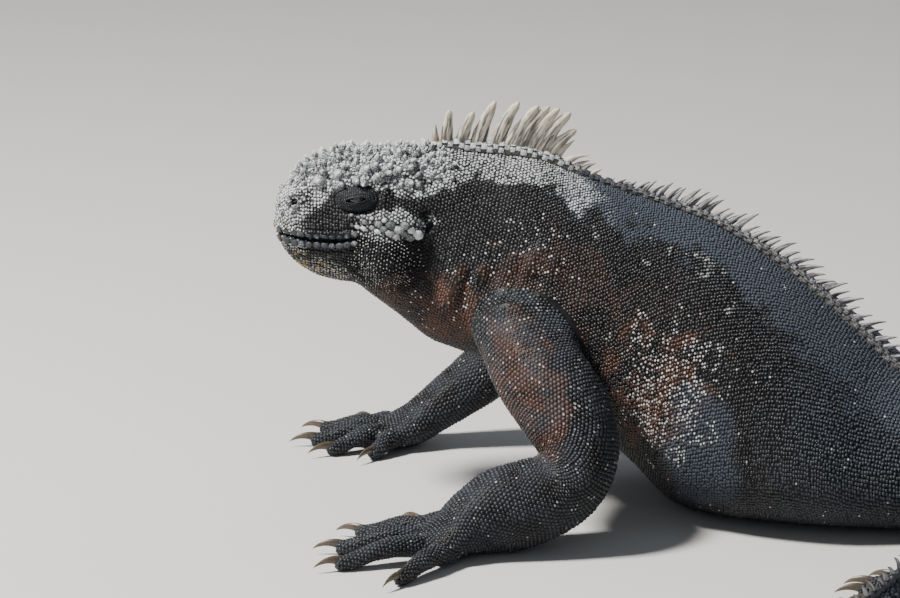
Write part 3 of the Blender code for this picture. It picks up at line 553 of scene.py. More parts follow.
# Swellings of the skin on the left side: centre, reach and how far it moves out.
RISES = (
    ((-101, -24, 168.5), (13, 9, 4.6), 2.6),  # brow
    ((-112, -22, 160), (5, 8, 6), 1.4),  # in front of the eye
    ((-88, -27, 158), (5, 8, 7), 1.6),  # behind the eye
    ((-100, -26, 149), (12, 8, 3.4), 1.5),  # under the eye
    ((-80, -30, 148), (16, 9, 7), 1.8),  # cheek
    ((-86, -29, 128), (15, 10, 11), 1.6),  # jowl
)


def lip_height(along):
    return np.interp(along, (-142.0, -124.0, -110.0, MOUTH_CORNER), (139.2, 138.0, 137.8, 139.9))


def along_fold(points, line):
    """Distance of each point from a line of points, and how far along the line it lies, 0 to 1."""
    line = np.asarray(line, float)
    nearest = np.full(len(points), 1e9)
    share = np.zeros(len(points))
    for i in range(len(line) - 1):
        run = line[i + 1] - line[i]
        t = np.clip(((points - line[i]) @ run) / (run @ run), 0, 1)
        away = np.linalg.norm(points - line[i] - t[:, None] * run, axis=1)
        closer = away < nearest
        nearest[closer] = away[closer]
        share[closer] = (i + t[closer]) / (len(line) - 1)
    return nearest, share


def left_side(points):
    """The points with those of the right side mirrored to the left."""
    return np.column_stack([points[:, 0], -np.abs(points[:, 1]), points[:, 2]])


def carved(points, calm):
    """How far each point of the skin moves out at its lips, nostrils, ears and folds. Folds fade where
    the skin is calm."""
    near = left_side(points)
    moved = np.zeros(len(points))
    for line, depth, width in FOLDS:
        away, share = along_fold(near, line)
        fade = ease(share, 0, 0.15) * ease(1 - share, 0, 0.15) * (1 - calm)
        moved -= depth * fade * np.exp(-((away / width) ** 2))
        moved += 0.4 * depth * fade * np.exp(-(((away - width * 1.9) / width) ** 2))
    for centre, reach, amount in RISES:
        away = (((near - np.array(centre)) / np.array(reach)) ** 2).sum(axis=1)
        moved += amount * np.clip(1 - away, 0, None) ** 1.5
    front = near[:, 0] < MOUTH_CORNER + 1.5
    from_lip = near[:, 2] - lip_height(near[:, 0])
    fade = np.where(front, ease(MOUTH_CORNER + 1.5 - near[:, 0], 0, 5) * 0.75 + 0.25, 0)
    moved -= 2.0 * fade * np.exp(-((from_lip / 0.95) ** 2))
    moved += 0.7 * fade * np.exp(-(((np.abs(from_lip) - 2.6) / 1.3) ** 2))
    moved -= 0.7 * fade * np.exp(-(((np.abs(from_lip) - 5.4) / 1.0) ** 2))
    nostril = np.linalg.norm((near - NOSTRIL_AT) * (1, 0.6, 1), axis=1)
    moved += 1.0 * np.exp(-(((nostril - 3.2) / 1.2) ** 2)) - 4.0 * np.exp(-((nostril / 1.9) ** 2))
    ear = np.linalg.norm((near - EAR_AT) / (4.4, 8.0, 6.0), axis=1)
    moved -= 2.6 * (1 - ease(ear, 0.55, 1.15))
    return moved


def hollow(points):
    """How deep in a crease or an opening each point lies, 0 to 1. It sets the painted shade that darkens
    scales and skin in folds, the mouth line and the nostrils.
    """
    near = left_side(points)
    from_lip = np.abs(near[:, 2] - lip_height(near[:, 0]))
    lip = np.where(near[:, 0] < MOUTH_CORNER + 1, 1 - ease(from_lip, 0.5, 1.5), 0)
    nostril = 1 - ease(np.linalg.norm((near - NOSTRIL_AT) * (1, 0.6, 1), axis=1), 1.5, 2.6)
    dark = np.maximum(lip, nostril)
    for line, _, width in FOLDS:
        away, share = along_fold(near, line)
        fade = ease(share, 0, 0.15) * ease(1 - share, 0, 0.15)
        dark = np.maximum(dark, 0.85 * fade * (1 - ease(away, 0.15 * width, 0.8 * width)))
    return dark


def on_left(along, up):
    """The point of the body's left side with this distance along it and this height."""
    places = np.arange(0.5, 13.0, 0.05)
    angles = np.radians(np.arange(25, 156, 1.0))
    points = np.array([section(place, angles, -SCALE_HIGH) for place in places]).reshape(-1, 3)
    miss = (points[:, 0] - along) ** 2 + (points[:, 2] - up) ** 2
    return points[np.argmin(miss)] * (1, -1, 1)


NOSTRIL_AT = on_left(*NOSTRIL)
EAR_AT = on_left(*EAR)


def filleted(points, ends, body, limbs):
    """Points smoothed where a limb meets the body, and how calm the skin is kept there, 0 to 1."""
    near = np.minimum(distance_to(body, points), 30.0)
    near = np.maximum(near, distance_to(limbs, points))
    share = 0.6 * np.exp(-((near / 12.0) ** 2))[:, None]
    chosen = share[:, 0] > 0.02
    touched = ends[chosen[ends].any(axis=1)]
    counts = np.maximum(np.bincount(touched.ravel(), minlength=len(points)), 1)
    for _ in range(110):
        inward = share * (mean_of_neighbours(points, touched, counts) - points)
        points = np.where(chosen[:, None], points + inward, points)
    return points, np.clip(share[:, 0] * 2.2 - 0.35, 0, 1)


def search_tree(places):
    """A tree that finds which of many places is nearest to a point."""
    tree = KDTree(len(places))
    for i, place in enumerate(places.tolist()):
        tree.insert(place, i)
    tree.balance()
    return tree


def distance_to(places, points):
    """Distance from each point to the nearest of many places."""
    tree = search_tree(places)
    return np.array([tree.find(point)[2] for point in points.tolist()])


def skin_mesh(forms, limbs):
    """One closed skin over every form: joined, smoothed at the limbs' roots, carved and thinned."""
    obj = linked("skin", placed_mesh("skin", *joined([closed_grid(grid) for grid in forms])))
    remesh = obj.modifiers.new("one skin", "REMESH")
    remesh.mode = "VOXEL"
    remesh.voxel_size = VOXEL * MM
    mesh = evaluated_mesh(obj)
    finer_head(mesh)
    ends = edge_ends(mesh)
    points = relaxed(mesh_points(mesh), ends, 8)
    body_places = forms[0].reshape(-1, 3)[::2]
    limb_places = np.concatenate([grid.reshape(-1, 3) for grid in limbs])[::2]
    points, calm = filleted(points, ends, body_places, limb_places)
    set_points(mesh, points)
    points = points + vertex_normals(mesh) * carved(points, calm)[:, None]
    points[:, 2] = np.maximum(points[:, 2], FLOOR_CLEAR * 0.6)
    set_points(mesh, points)
    thinner_skin(obj)
    return obj


def finer_head(mesh):
    """Splits the faces of the head once, so that it holds lips, nostrils and folds."""
    work = bmesh.new()
    work.from_mesh(mesh)
    limit = (-58.0 - ORIGIN[0]) * MM
    edges = [e for e in work.edges if all(v.co.x < limit and v.co.z > 0.085 for v in e.verts)]
    bmesh.ops.subdivide_edges(work, edges=edges, cuts=1, use_grid_fill=True)
    bmesh.ops.triangulate(work, faces=[f for f in work.faces if len(f.verts) > 4])
    work.to_mesh(mesh)
    work.free()


SKIN_TRIANGLES = 190_000


def thinner_skin(obj):
    """Fewer faces where the skin is even, because the scales carry its detail."""
    mesh = obj.data
    mesh.calc_loop_triangles()
    fewer = obj.modifiers.new("fewer faces", "DECIMATE")
    fewer.ratio = SKIN_TRIANGLES / len(mesh.loop_triangles)
    evaluated_mesh(obj).shade_smooth()
# Places of the scales

PITCH = {
    "head": 1.8, "neck": 1.9, "chest": 2.0, "belly": 2.1, "pelvis": 2.35, "tail_base": 2.9,
    "tail_middle": 3.2, "tail_rear": 3.2, "tail_tip": 2.9, "arm": 2.15, "leg": 2.6, "toe": 1.95,
}
MOST_MOVED = 2.4  # a scale that would move further than this to reach the skin is left out


class Roots:
    """Places of many scales, with a value of each kind for every one."""

    def __init__(self, **columns):
        self.columns = columns

    def __getitem__(self, name):
        return self.columns[name]

    def __len__(self):
        return len(self.columns["at"])

    def kept(self, chosen):
        return Roots(**{name: values[chosen] for name, values in self.columns.items()})

    def with_values(self, **columns):
        return Roots(**{**self.columns, **columns})

    @staticmethod
    def together(groups):
        groups = [g for g in groups if len(g)]
        return Roots(**{name: np.concatenate([g[name] for g in groups]) for name in groups[0].columns})


def read_ring(grid, ring, turns):
    """Points of a grid at one ring, which may lie between two, and at turns counted in its sides."""
    low = int(np.clip(math.floor(ring), 0, len(grid) - 2))
    row = grid[low] + (grid[low + 1] - grid[low]) * (ring - low)
    sides = len(row)
    k = np.floor(turns).astype(int)
    t = (turns - k)[:, None]
    return row[k % sides] * (1 - t) + row[(k + 1) % sides] * t


def rows_over(grid, pitch_at, first=0.0, last=None):
    """Staggered rows of scale places over a grid. pitch_at gives the pitch for a ring."""
    last = len(grid) - 1.02 if last is None else last
    steps = np.linalg.norm(np.diff(grid, axis=0), axis=2)
    run = np.concatenate([[0], np.cumsum(np.percentile(steps, 75, axis=1))])
    sides = grid.shape[1]
    found = {name: [] for name in ("at", "up", "back", "long", "wide", "ring", "turn")}
    distance, row = float(np.interp(first, np.arange(len(run)), run)), 0
    while True:
        ring = float(np.interp(distance, run, np.arange(len(run))))
        if ring >= last:
            break
        pitch = pitch_at(ring)
        loop = read_ring(grid, ring, np.arange(sides + 1, dtype=float))
        arc = np.concatenate([[0], np.cumsum(np.linalg.norm(np.diff(loop, axis=0), axis=1))])
        count = max(5, round(arc[-1] / pitch))
        offsets = (np.arange(count) + 0.5 * (row % 2)) * arc[-1] / count
        turns = np.interp(offsets, arc, np.arange(sides + 1))
        here = read_ring(grid, ring, turns)
        step = 0.25
        behind = read_ring(grid, min(ring + step, len(grid) - 1), turns)
        before = read_ring(grid, max(ring - step, 0), turns)
        beside = read_ring(grid, ring, turns + 0.2) - read_ring(grid, ring, turns - 0.2)
        back = behind - before
        up = direction(np.cross(back, beside))
        up *= np.where(((here - loop[:-1].mean(axis=0)) * up).sum(axis=1) < 0, -1, 1)[:, None]
        row_run = np.ptp(np.interp((ring - step, ring + step), np.arange(len(run)), run))
        found["at"].append(here)
        found["up"].append(up)
        found["back"].append(direction(back))
        found["long"].append(np.linalg.norm(back, axis=1) / max(row_run, 1e-6) * pitch)
        found["wide"].append(np.full(len(here), arc[-1] / count))
        found["ring"].append(np.full(len(here), ring))
        found["turn"].append(turns / sides)
        distance += pitch * 0.92
        row += 1
    return Roots(**{name: np.concatenate(values) for name, values in found.items()})


class Surface:
    """The finished skin, for laying things on it."""

    def __init__(self, mesh):
        self.points = mesh_points(mesh)
        self.normals = vertex_normals(mesh)
        self.faces = [tuple(p.vertices) for p in mesh.polygons]
        self.tree = BVHTree.FromPolygons(self.points.tolist(), self.faces)

    def nearest(self, points):
        """Nearest points of the skin, its smooth normals there and how far away they are."""
        at, up, away = np.empty_like(points), np.empty_like(points), np.empty(len(points))
        for i, point in enumerate(points.tolist()):
            spot, _, face, distance = self.tree.find_nearest(point)
            corners = list(self.faces[face])
            weights = 1 / (np.linalg.norm(self.points[corners] - np.array(spot), axis=1) + 0.05)
            at[i], away[i] = spot, distance
            up[i] = weights @ self.normals[corners]
        return at, direction(up), away


def laid_on(surface, roots):
    """The roots moved onto the skin. Those that lie inside another form are left out."""
    at, up, away = surface.nearest(roots["at"])
    keep = (away < MOST_MOVED) & ((up * roots["up"]).sum(axis=1) > 0.2)
    roots = roots.with_values(at=at, up=up).kept(keep)
    back = roots["back"] - roots["up"] * (roots["back"] * roots["up"]).sum(axis=1, keepdims=True)
    return roots.with_values(back=direction(back))


def thinned(roots, taken, share=0.66):
    """Leaves out each place that is too near one already taken, then takes the others."""
    keep = np.ones(len(roots), bool)
    if len(taken):
        tree = search_tree(taken["at"])
        for i, point in enumerate(roots["at"].tolist()):
            _, other, distance = tree.find(point)
            keep[i] = distance > share * 0.5 * (roots["wide"][i] + taken["wide"][other])
    return roots.kept(keep)


def uncrowded(roots, share=0.5):
    """Leaves out places that crowd their own neighbours, as on the inside of a bend."""
    tree = search_tree(roots["at"])
    keep = np.ones(len(roots), bool)
    reach = roots["wide"] * share
    for i, point in enumerate(roots["at"].tolist()):
        if keep[i]:
            for _, other, _ in tree.find_range(point, float(reach[i])):
                if other > i:
                    keep[other] = False
    return roots.kept(keep)


def gaps_filled(surface, roots):
    """Adds places where the skin lies bare between the rows."""
    tree = search_tree(roots["at"])
    bare = []
    for i, point in enumerate(surface.points.tolist()):
        _, other, distance = tree.find(point)
        if distance > 1.12 * roots["wide"][other] and point[2] > 1.0:
            bare.append((i, other, distance))
    bare.sort(key=lambda row: -row[2])
    chosen, spots = [], []
    for i, other, _ in bare:
        spot = surface.points[i]
        apart = 0.85 * roots["wide"][other]
        if spots and np.min(np.sum((np.array(spots) - spot) ** 2, axis=1)) < apart**2:
            continue
        spots.append(spot)
        chosen.append((i, other))
    if not chosen:
        return roots
    vertices, others = np.array(chosen).T
    more = roots.kept(others).with_values(at=surface.points[vertices], up=surface.normals[vertices])
    return Roots.together([roots, more])


# Shapes that are repeated

def ringed_shape(name, rings, tip, sides=6, rough=0.0, seed=1):
    """A small closed form. Each ring is (height, half length, half width, shift back)."""
    draw = random.Random(seed)
    points, faces = [], []
    for height, long, wide, shift in rings:
        for k in range(sides):
            turn = (k + 0.5) * 2 * math.pi / sides
            loose = 1 + draw.uniform(-rough, rough)
            points.append((shift + long * math.cos(turn) * loose, wide * math.sin(turn) * loose,
                           height + draw.uniform(-rough, rough) * 0.3 * (height > 0)))
    for i in range(len(rings) - 1):
        for k in range(sides):
            a, b = i * sides + k, i * sides + (k + 1) % sides
            faces.append((a, b, b + sides, a + sides))
    points.append(tip)
    last = (len(rings) - 1) * sides
    faces += [(last + k, last + (k + 1) % sides, len(points) - 1) for k in range(sides)]
    faces.append(tuple(range(sides - 1, -1, -1)))
    mesh = bpy.data.meshes.new(name)
    mesh.from_pydata(points, [], faces)
    facing_out(mesh)
    mesh.shade_smooth()
    values = np.array(points)
    store_values(mesh, "high", np.clip(values[:, 2], 0, 1))
    store_values(mesh, "spread", values * (2, 2, 0))
    return bpy.data.objects.new(name, mesh)


def shape_set(name, shapes):
    """A collection of shapes to pick from, kept out of the scene."""
    group = bpy.data.collections.new(name)
    for shape in shapes:
        group.objects.link(shape)
    return group


def bead_shapes():
    """Low rounded scales of the flanks, with six sides."""
    return [ringed_shape(f"bead_{i}", ((-0.6, 0.53, 0.53, 0), (0.5, 0.43, 0.43, 0.01)), (0.04, 0, 1.0),
                         rough=0.08, seed=i) for i in range(3)]


def keeled_shapes():
    """Scales that lean back to a blunt point, as on the limbs and tail."""
    return [ringed_shape(f"keeled_{i}", ((-0.6, 0.56, 0.52, 0), (0.4, 0.45, 0.42, 0.02)), (0.2, 0, 1.0),
                         rough=0.07, seed=10 + i) for i in range(3)]


def cone_shapes():
    """Small pointed beads of the jowl."""
    return [ringed_shape(f"cone_{i}", ((-0.5, 0.5, 0.5, 0), (0.35, 0.34, 0.34, 0.0)), (0.06, 0, 1.0),
                         rough=0.08, seed=20 + i) for i in range(3)]


def square_shapes():
    """Flat plates with four corners, as at the foot of the crest."""
    rings = ((-0.5, 0.71, 0.71, 0), (0.5, 0.69, 0.68, 0), (0.9, 0.52, 0.5, 0))
    return [ringed_shape(f"square_{i}", rings, (0, 0, 1.0), sides=4, rough=0.07, seed=70 + i)
            for i in range(3)]


def plate_shapes():
    """Flat plates with rounded corners, as on the lips and the cheek."""
    rings = ((-0.5, 0.55, 0.55, 0), (0.45, 0.54, 0.53, 0), (0.85, 0.44, 0.42, 0))
    return [ringed_shape(f"plate_{i}", rings, (0, 0, 1.0), sides=7, rough=0.09, seed=50 + i)
            for i in range(4)]


def tubercle_shapes():
    """Blunt crusted cones of the crown."""
    rings = ((-0.3, 0.56, 0.56, 0), (0.1, 0.46, 0.46, 0), (0.42, 0.28, 0.28, 0.02), (0.8, 0.11, 0.11, 0.07))
    return [ringed_shape(f"tubercle_{i}", rings, (0.05, 0, 1.0), sides=8, rough=0.13, seed=30 + i)
            for i in range(5)]


def scale_tree():
    """A tree that sets one of a collection's shapes on each root and joins them all."""
    tree = bpy.data.node_groups.new("scales_on_roots", "GeometryNodeTree")
    sockets = tree.interface
    sockets.new_socket("Roots", in_out="INPUT", socket_type="NodeSocketGeometry")
    sockets.new_socket("Shapes", in_out="INPUT", socket_type="NodeSocketCollection")
    sockets.new_socket("Finish", in_out="INPUT", socket_type="NodeSocketMaterial")
    sockets.new_socket("Seed", in_out="INPUT", socket_type="NodeSocketInt")
    sockets.new_socket("Scales", in_out="OUTPUT", socket_type="NodeSocketGeometry")
    nodes, links = tree.nodes, tree.links
    inside, outside = nodes.new("NodeGroupInput"), nodes.new("NodeGroupOutput")
    shapes = nodes.new("GeometryNodeCollectionInfo")
    shapes.inputs["Separate Children"].default_value = True
    shapes.inputs["Reset Children"].default_value = True
    links.new(inside.outputs["Shapes"], shapes.inputs["Collection"])
    pick = nodes.new("FunctionNodeRandomValue")
    pick.data_type = "INT"
    pick.inputs["Min"].default_value = 0
    for socket in pick.inputs:
        if socket.name == "Max" and socket.type == "INT":
            socket.default_value = 29
    links.new(inside.outputs["Seed"], pick.inputs["Seed"])
    turn = nodes.new("FunctionNodeAxesToRotation")
    turn.primary_axis, turn.secondary_axis = "Z", "X"
    links.new(named_vector(tree, "up"), turn.inputs[0])
    links.new(named_vector(tree, "back"), turn.inputs[1])
    place = nodes.new("GeometryNodeInstanceOnPoints")
    place.inputs["Pick Instance"].default_value = True
    links.new(inside.outputs["Roots"], place.inputs["Points"])
    links.new(shapes.outputs["Instances"], place.inputs["Instance"])
    links.new(next(s for s in pick.outputs if s.enabled), place.inputs["Instance Index"])
    links.new(turn.outputs["Rotation"], place.inputs["Rotation"])
    links.new(named_vector(tree, "size"), place.inputs["Scale"])
    solid = nodes.new("GeometryNodeRealizeInstances")
    links.new(place.outputs["Instances"], solid.inputs["Geometry"])
    finish = nodes.new("GeometryNodeSetMaterial")
    links.new(solid.outputs["Geometry"], finish.inputs["Geometry"])
    links.new(inside.outputs["Finish"], finish.inputs["Material"])
    links.new(finish.outputs["Geometry"], outside.inputs["Scales"])
    return tree


def named_vector(tree, name):
    reader = tree.nodes.new("GeometryNodeInputNamedAttribute")
    reader.data_type = "FLOAT_VECTOR"
    reader.inputs["Name"].default_value = name
    return next(s for s in reader.outputs if s.enabled and s.name == "Attribute")


# white lightens scale tops, as pale tips and in part painted glints; dark is painted shade in creases,
# openings and between the scales, and darkens the lids.
MARKS = ("crust", "rust", "dust", "white", "dark", "tone", "sand")


def store_values(mesh, name, values):
    """Gives each point a number, or a vector, that node trees read by this name."""
    values = np.asarray(values, np.float32)
    kind, where = ("FLOAT_VECTOR", "vector") if values.ndim == 2 else ("FLOAT", "value")
    mesh.attributes.new(name, kind, "POINT").data.foreach_set(where, values.ravel())


def scale_piece(name, roots, tree, shapes, finish, seed=1):
    """One joined mesh of scales on these roots, riding on the body."""
    mesh = placed_mesh(name, roots["at"], [])
    size = np.column_stack([roots["long"], roots["wide"], roots["high"]]) * MM
    spot = np.column_stack([roots["spot_u"], roots["spot_v"], np.zeros(len(roots))])
    given = {"up": roots["up"], "back": roots["back"], "size": size, "spot": spot}
    given.update({mark: roots[mark] for mark in MARKS})
    for column, numbers in given.items():
        store_values(mesh, column, numbers)
    obj = linked(name, mesh)
    maker = obj.modifiers.new("scales", "NODES")
    maker.node_group = tree
    values = {"Shapes": shapes, "Finish": finish, "Seed": seed}
    for socket in tree.interface.items_tree:
        if socket.in_out == "INPUT" and socket.name in values:
            maker[socket.identifier] = values[socket.name]
    mesh = evaluated_mesh(obj)
    keep_in_box(mesh)
    bake_patches(mesh)
    for column in ("up", "back", "size", "spot", "spread"):
        layer = mesh.attributes.get(column)
        if layer:
            mesh.attributes.remove(layer)
    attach(obj, "root")
    return obj


def keep_in_box(mesh):
    """Presses points that would pass the model's box, such as scales under the belly, back to it."""
    count = len(mesh.vertices)
    points = np.empty(count * 3, np.float32)
    mesh.vertices.foreach_get("co", points)
    low, high = np.array(CAD_BOX[0], np.float32), np.array(CAD_BOX[1], np.float32)
    mesh.vertices.foreach_set("co", np.clip(points.reshape(-1, 3), low, high).ravel())
    mesh.update()


def bake_patches(mesh):
    """A small patch for each scale at its root's place on the unwrapped skin."""
    count = len(mesh.vertices)
    spot, spread = np.empty(count * 3), np.empty(count * 3)
    mesh.attributes["spot"].data.foreach_get("vector", spot)
    mesh.attributes["spread"].data.foreach_get("vector", spread)
    half = 0.0015  # half the size of a scale's patch on the unwrap
    centres = spot.reshape(-1, 3)[:, :2] * (1 - 2 * half) + half
    places = centres + spread.reshape(-1, 3)[:, :2] * half * 0.95
    corner = np.empty(len(mesh.loops), np.int64)
    mesh.loops.foreach_get("vertex_index", corner)
    layer = mesh.uv_layers.new(name="OFBake")
    layer.uv.foreach_set("vector", np.clip(places[corner], 0, 1).astype(np.float32).ravel())
# Markings

def wobble(points, size, seed=0.0):
    """Smooth noise from -1 to 1 over the points, with features of about this size."""
    shifted = np.asarray(points, float) / size + seed
    return np.array([noise.noise(Vector(p)) for p in shifted.tolist()]) * 1.6


def patch(points, centre, reach, ragged=0.35, size=9.0, seed=0.0):
    """A patch with a ragged edge on both sides of the body: 1 inside and 0 outside."""
    away = (left_side(points) - np.array(centre)) / np.array(reach)
    depth = 1 - np.sqrt((away**2).sum(axis=1))
    near = depth > -0.6
    depth[near] += ragged * wobble(points[near], size, seed) * 0.5
    return ease(depth, 0.05, 0.35)


def crown_share(straight):
    """Where the crust of the crown lies, 0 to 1."""
    along, up = straight[:, 0], straight[:, 2]
    edge = np.interp(along, (-142, -128, -112, -88, -70, -58), (140, 146, 161, 163, 158, 162))
    return ease(up + wobble(straight, 7.0, 3.0) * 2.5, edge - 2, edge + 3) * (1 - ease(along, -58, -46))


def body_marks(straight, from_top):
    """The markings of the head, trunk and tail, from places on the straight body."""
    count = len(straight)
    along, up = straight[:, 0], straight[:, 2]
    draw = np.random.default_rng(5)
    ragged = wobble(straight, 12.0, 3.0) + 0.5 * wobble(straight, 4.0, 9.0)
    fine = wobble(straight, 3.0, 8.0)
    band = np.interp(along, (-60, 0, 60, 130), (24, 24, 33, 40))
    crown = crown_share(straight)
    crown *= 1 - 0.35 * ease(wobble(straight, 7.0, 5.0), 0.1, 0.7)
    snout = (1 - ease(along, -134, -118)) * ease(up, 126, 134) * 0.8
    cheek = 0.75 * patch(straight, (-85, -29, 147), (24, 20, 10), 0.5, 6.0)
    chin = 0.55 * patch(straight, (-122, -18, 120), (24, 26, 9), 0.9, 3.0, 4.0)
    nape = (1 - ease(from_top + ragged * 7, band - 2, band + 5)) * ease(along, -62, -52)
    nape *= 1 - ease(along + ragged * 8, 8, 26)
    flecks = ease(ragged, 0.62, 0.85) * ease(from_top, band - 10, band)
    flecks *= 1 - ease(from_top, band + 14, band + 26)
    flecks *= ease(along, -20, 0) * (1 - ease(along, 130, 170))
    crust = np.maximum.reduce([crown, snout, cheek, chin, 0.72 * nape, 0.5 * flecks])
    crust = np.clip(crust + fine * 0.16 * (crust > 0.05), 0, 1)
    lids = patch(straight, (-100, -24, 158.5), (17, 14, 8.5), 0.1)
    crust *= 1 - 0.8 * lids
    rust = np.maximum.reduce([
        0.75 * patch(straight, (-74, -28, 108), (22, 30, 18), 0.4),
        0.95 * patch(straight, (-56, -33, 100), (26, 34, 28), 0.5),
        0.55 * patch(straight, (-22, -44, 118), (24, 30, 24), 0.7),
        0.3 * patch(straight, (2, -48, 116), (34, 34, 34), 0.8),
        0.8 * patch(straight, (52, -66, 74), (34, 36, 40), 0.8),
        0.1 * patch(straight, (30, -60, 96), (60, 34, 60), 0.9),
    ])
    dust = (1 - ease(from_top + ragged * 8, band - 3, band + 4)) * ease(along, -8, 10)
    dust *= 1 - 0.45 * ease(along, 300, 420)
    hip = 0.4 * ease(along + ragged * 14, 108, 150) * (1 - ease(along, 300, 400))
    shed = 0.75 * patch(straight, (78, -70, 40), (30, 34, 44), 0.3, 16.0, 2.0)
    dust = np.maximum.reduce([dust, hip, shed])
    # White tops on scattered scales, thickest on the jowl and the flank: pale tips, and in part painted
    # glints.
    jowl = patch(straight, (-88, -28, 127), (22, 30, 19), 0.5, 6.0)
    flank = patch(straight, (58, -66, 74), (32, 36, 42), 0.9, 7.0, 6.0)
    fold = patch(straight, (-20, -42, 128), (36, 30, 30), 0.9, 7.0)
    throat = patch(straight, (-62, -31, 108), (26, 34, 26), 0.8, 6.0)
    anywhere = np.full(count, 0.006)
    chance = np.maximum.reduce([0.7 * jowl, 0.5 * flank, 0.1 * fold, 0.07 * throat, anywhere])
    white = (draw.random(count) < chance) * draw.uniform(0.35, 1.0, count)
    white[along > 300] *= 0.4
    sand = np.maximum(0.9 * patch(straight, (-128, -16, 122), (20, 20, 10), 0.9, 3.0, 7.0),
                      0.6 * patch(straight, (-136, -12, 134), (10, 20, 14), 0.9, 3.0, 7.0))
    return {"crust": crust, "rust": rust, "dust": dust, "white": white, "dark": 0.45 * lids,
            "tone": draw.uniform(-1, 1, count), "sand": sand * (draw.random(count) < 0.3)}


def limb_marks(points, share, front):
    """The markings of a limb, from its points and how far down it each lies, 0 to 1."""
    count = len(points)
    draw = np.random.default_rng(6)
    ragged = wobble(points, 10.0, 4.0)
    rust = np.full(count, 0.0)
    if front:
        rust = np.maximum(0.85 * patch(points, (-16, -80, 68), (26, 60, 30), 0.5),
                          0.6 * patch(points, (-22, -62, 92), (24, 60, 22), 0.5))
        rust = rust * (share < 0.52)
    # White tops on scattered scales: pale tips, and in part painted glints.
    chance = np.where(share < 0.5, 0.1, 0.03) if front else np.full(count, 0.05)
    white = (draw.random(count) < chance) * draw.uniform(0.2, 0.7, count)
    return marked(draw, count, crust=np.clip(0.05 + 0.1 * ragged, 0, 1), rust=rust,
                  dust=np.clip(0.2 + 0.25 * ragged, 0, 1), white=white)


def marked(draw, count, **marks):
    """Every mark of each scale: those given, a random tone, and 0 for the rest."""
    blank = {mark: np.zeros(count) for mark in MARKS}
    return {**blank, "tone": draw.uniform(-1, 1, count), **marks}


# Groups of scales

def tubercle_places(grid, straight, surface):
    """Cones of the crown and the snout, uneven in size and place."""
    roots = rows_over(grid, lambda ring: 4.9, 2.0, ring_at("head") - 2.0)
    where = read_many(straight, roots)
    draw = np.random.default_rng(9)
    count = len(roots)
    along, up = where[:, 0], where[:, 2]
    eye = np.hypot((along - EYE[0]) / 12.0, (up - EYE[2]) / 8.6)
    ear = np.hypot((along - EAR[0]) / 7.0, (up - EAR[1]) / 8.5)
    large = np.maximum(ease(up, 161, 166), 0.62 * (1 - ease(along, -132, -112)) * ease(up, 143, 152))
    kinds = draw.choice((0.62, 0.85, 1.05, 1.3), count, p=(0.32, 0.33, 0.22, 0.13))
    size = large * kinds * draw.uniform(0.9, 1.1, count)
    size *= np.interp(along, (-140.0, -126.0, -96.0, -70.0, -56.0), (0.6, 0.95, 1.05, 1.0, 0.55))
    size *= (eye > 1) & (ear > 1)
    slid = roots["back"] * draw.uniform(-1.7, 1.7, (count, 1))
    slid += np.cross(roots["up"], roots["back"]) * draw.uniform(-1.5, 1.5, (count, 1))
    width = 5.4 * size * draw.uniform(0.85, 1.15, count)
    roots = roots.with_values(at=roots["at"] + slid, long=width * draw.uniform(0.9, 1.2, count), wide=width,
                              high=np.minimum(4.6 * size * draw.uniform(0.7, 1.25, count), 5.4))
    return tilted(laid_on(surface, roots.kept(size > 0.4)), 0.28, draw)


def cheek_places(grid, straight, surface):
    """Flat plates under the eye, larger towards the ear."""
    roots = rows_over(grid, lambda ring: 3.9, 2.0, ring_at("head") - 2.0)
    where = read_many(straight, roots)
    draw = np.random.default_rng(19)
    count = len(roots)
    along, up = where[:, 0], where[:, 2]
    ear = np.hypot((along - EAR[0]) / 6.0, (up - EAR[1]) / 8.0)
    below_eye = 148.0 - (along - EYE[0]) * 0.16
    cheek = (1 - ease(np.abs(up - below_eye), 2.5, 6.5)) * ease(along, -110, -104)
    cheek *= 1 - ease(along, -69, -66)
    size = cheek * np.interp(along, (-106, -92, -74), (0.62, 0.85, 1.35)) * draw.uniform(0.75, 1.2, count)
    size *= ear > 1
    roots = roots.with_values(
        at=roots["at"] + roots["back"] * draw.uniform(-0.7, 0.7, (count, 1)),
        long=3.8 * size * draw.uniform(0.9, 1.25, count), wide=3.4 * size, high=1.5 * size)
    return tilted(laid_on(surface, roots.kept(size > 0.45)), 0.15, draw)


def lip_places(surface):
    """Long plates in a row along each lip."""
    draw = np.random.default_rng(29)
    rows = []
    for side in (1, -1):
        for above in (1, -1):
            for along in np.arange(-139.0, -101.0, 3.7):
                height = float(lip_height(along)) + above * (2.3 if above > 0 else 2.6)
                ring = on_left(along, height) * (1, side, 1)
                rows.append((*ring, above))
    rows = np.array(rows)
    at, count = rows[:, :3], len(rows)
    out = direction(at - np.array([-112.0, 0, 139.0]))
    back = np.gradient(at, axis=0)
    back = direction(np.where(np.linalg.norm(back, axis=1, keepdims=True) < 6, back, (1.0, 0, 0)))
    long = draw.uniform(3.3, 4.3, count)
    wide = np.where(rows[:, 3] > 0, 2.5, 3.2) * draw.uniform(0.85, 1.1, count)
    roots = Roots(at=at, up=out, back=back * np.where(back[:, :1] < 0, -1, 1), long=long, wide=wide,
                  high=np.full(count, 0.55), ring=np.full(count, 1.0), turn=np.linspace(0, 1, count))
    return laid_on(surface, roots)


def tilted(roots, most, draw):
    """The roots with their upward direction turned a little at random."""
    count = len(roots)
    side = np.cross(roots["up"], roots["back"])
    lean = roots["back"] * draw.uniform(-most, most * 1.3, (count, 1))
    lean += side * draw.uniform(-most, most, (count, 1))
    return roots.with_values(up=direction(roots["up"] + lean))


def ring_at(name):
    """The ring of the body's grid where a part ends."""
    return float(np.interp(dict(CUTS)[name], BODY_PLACES, np.arange(len(BODY_PLACES))))


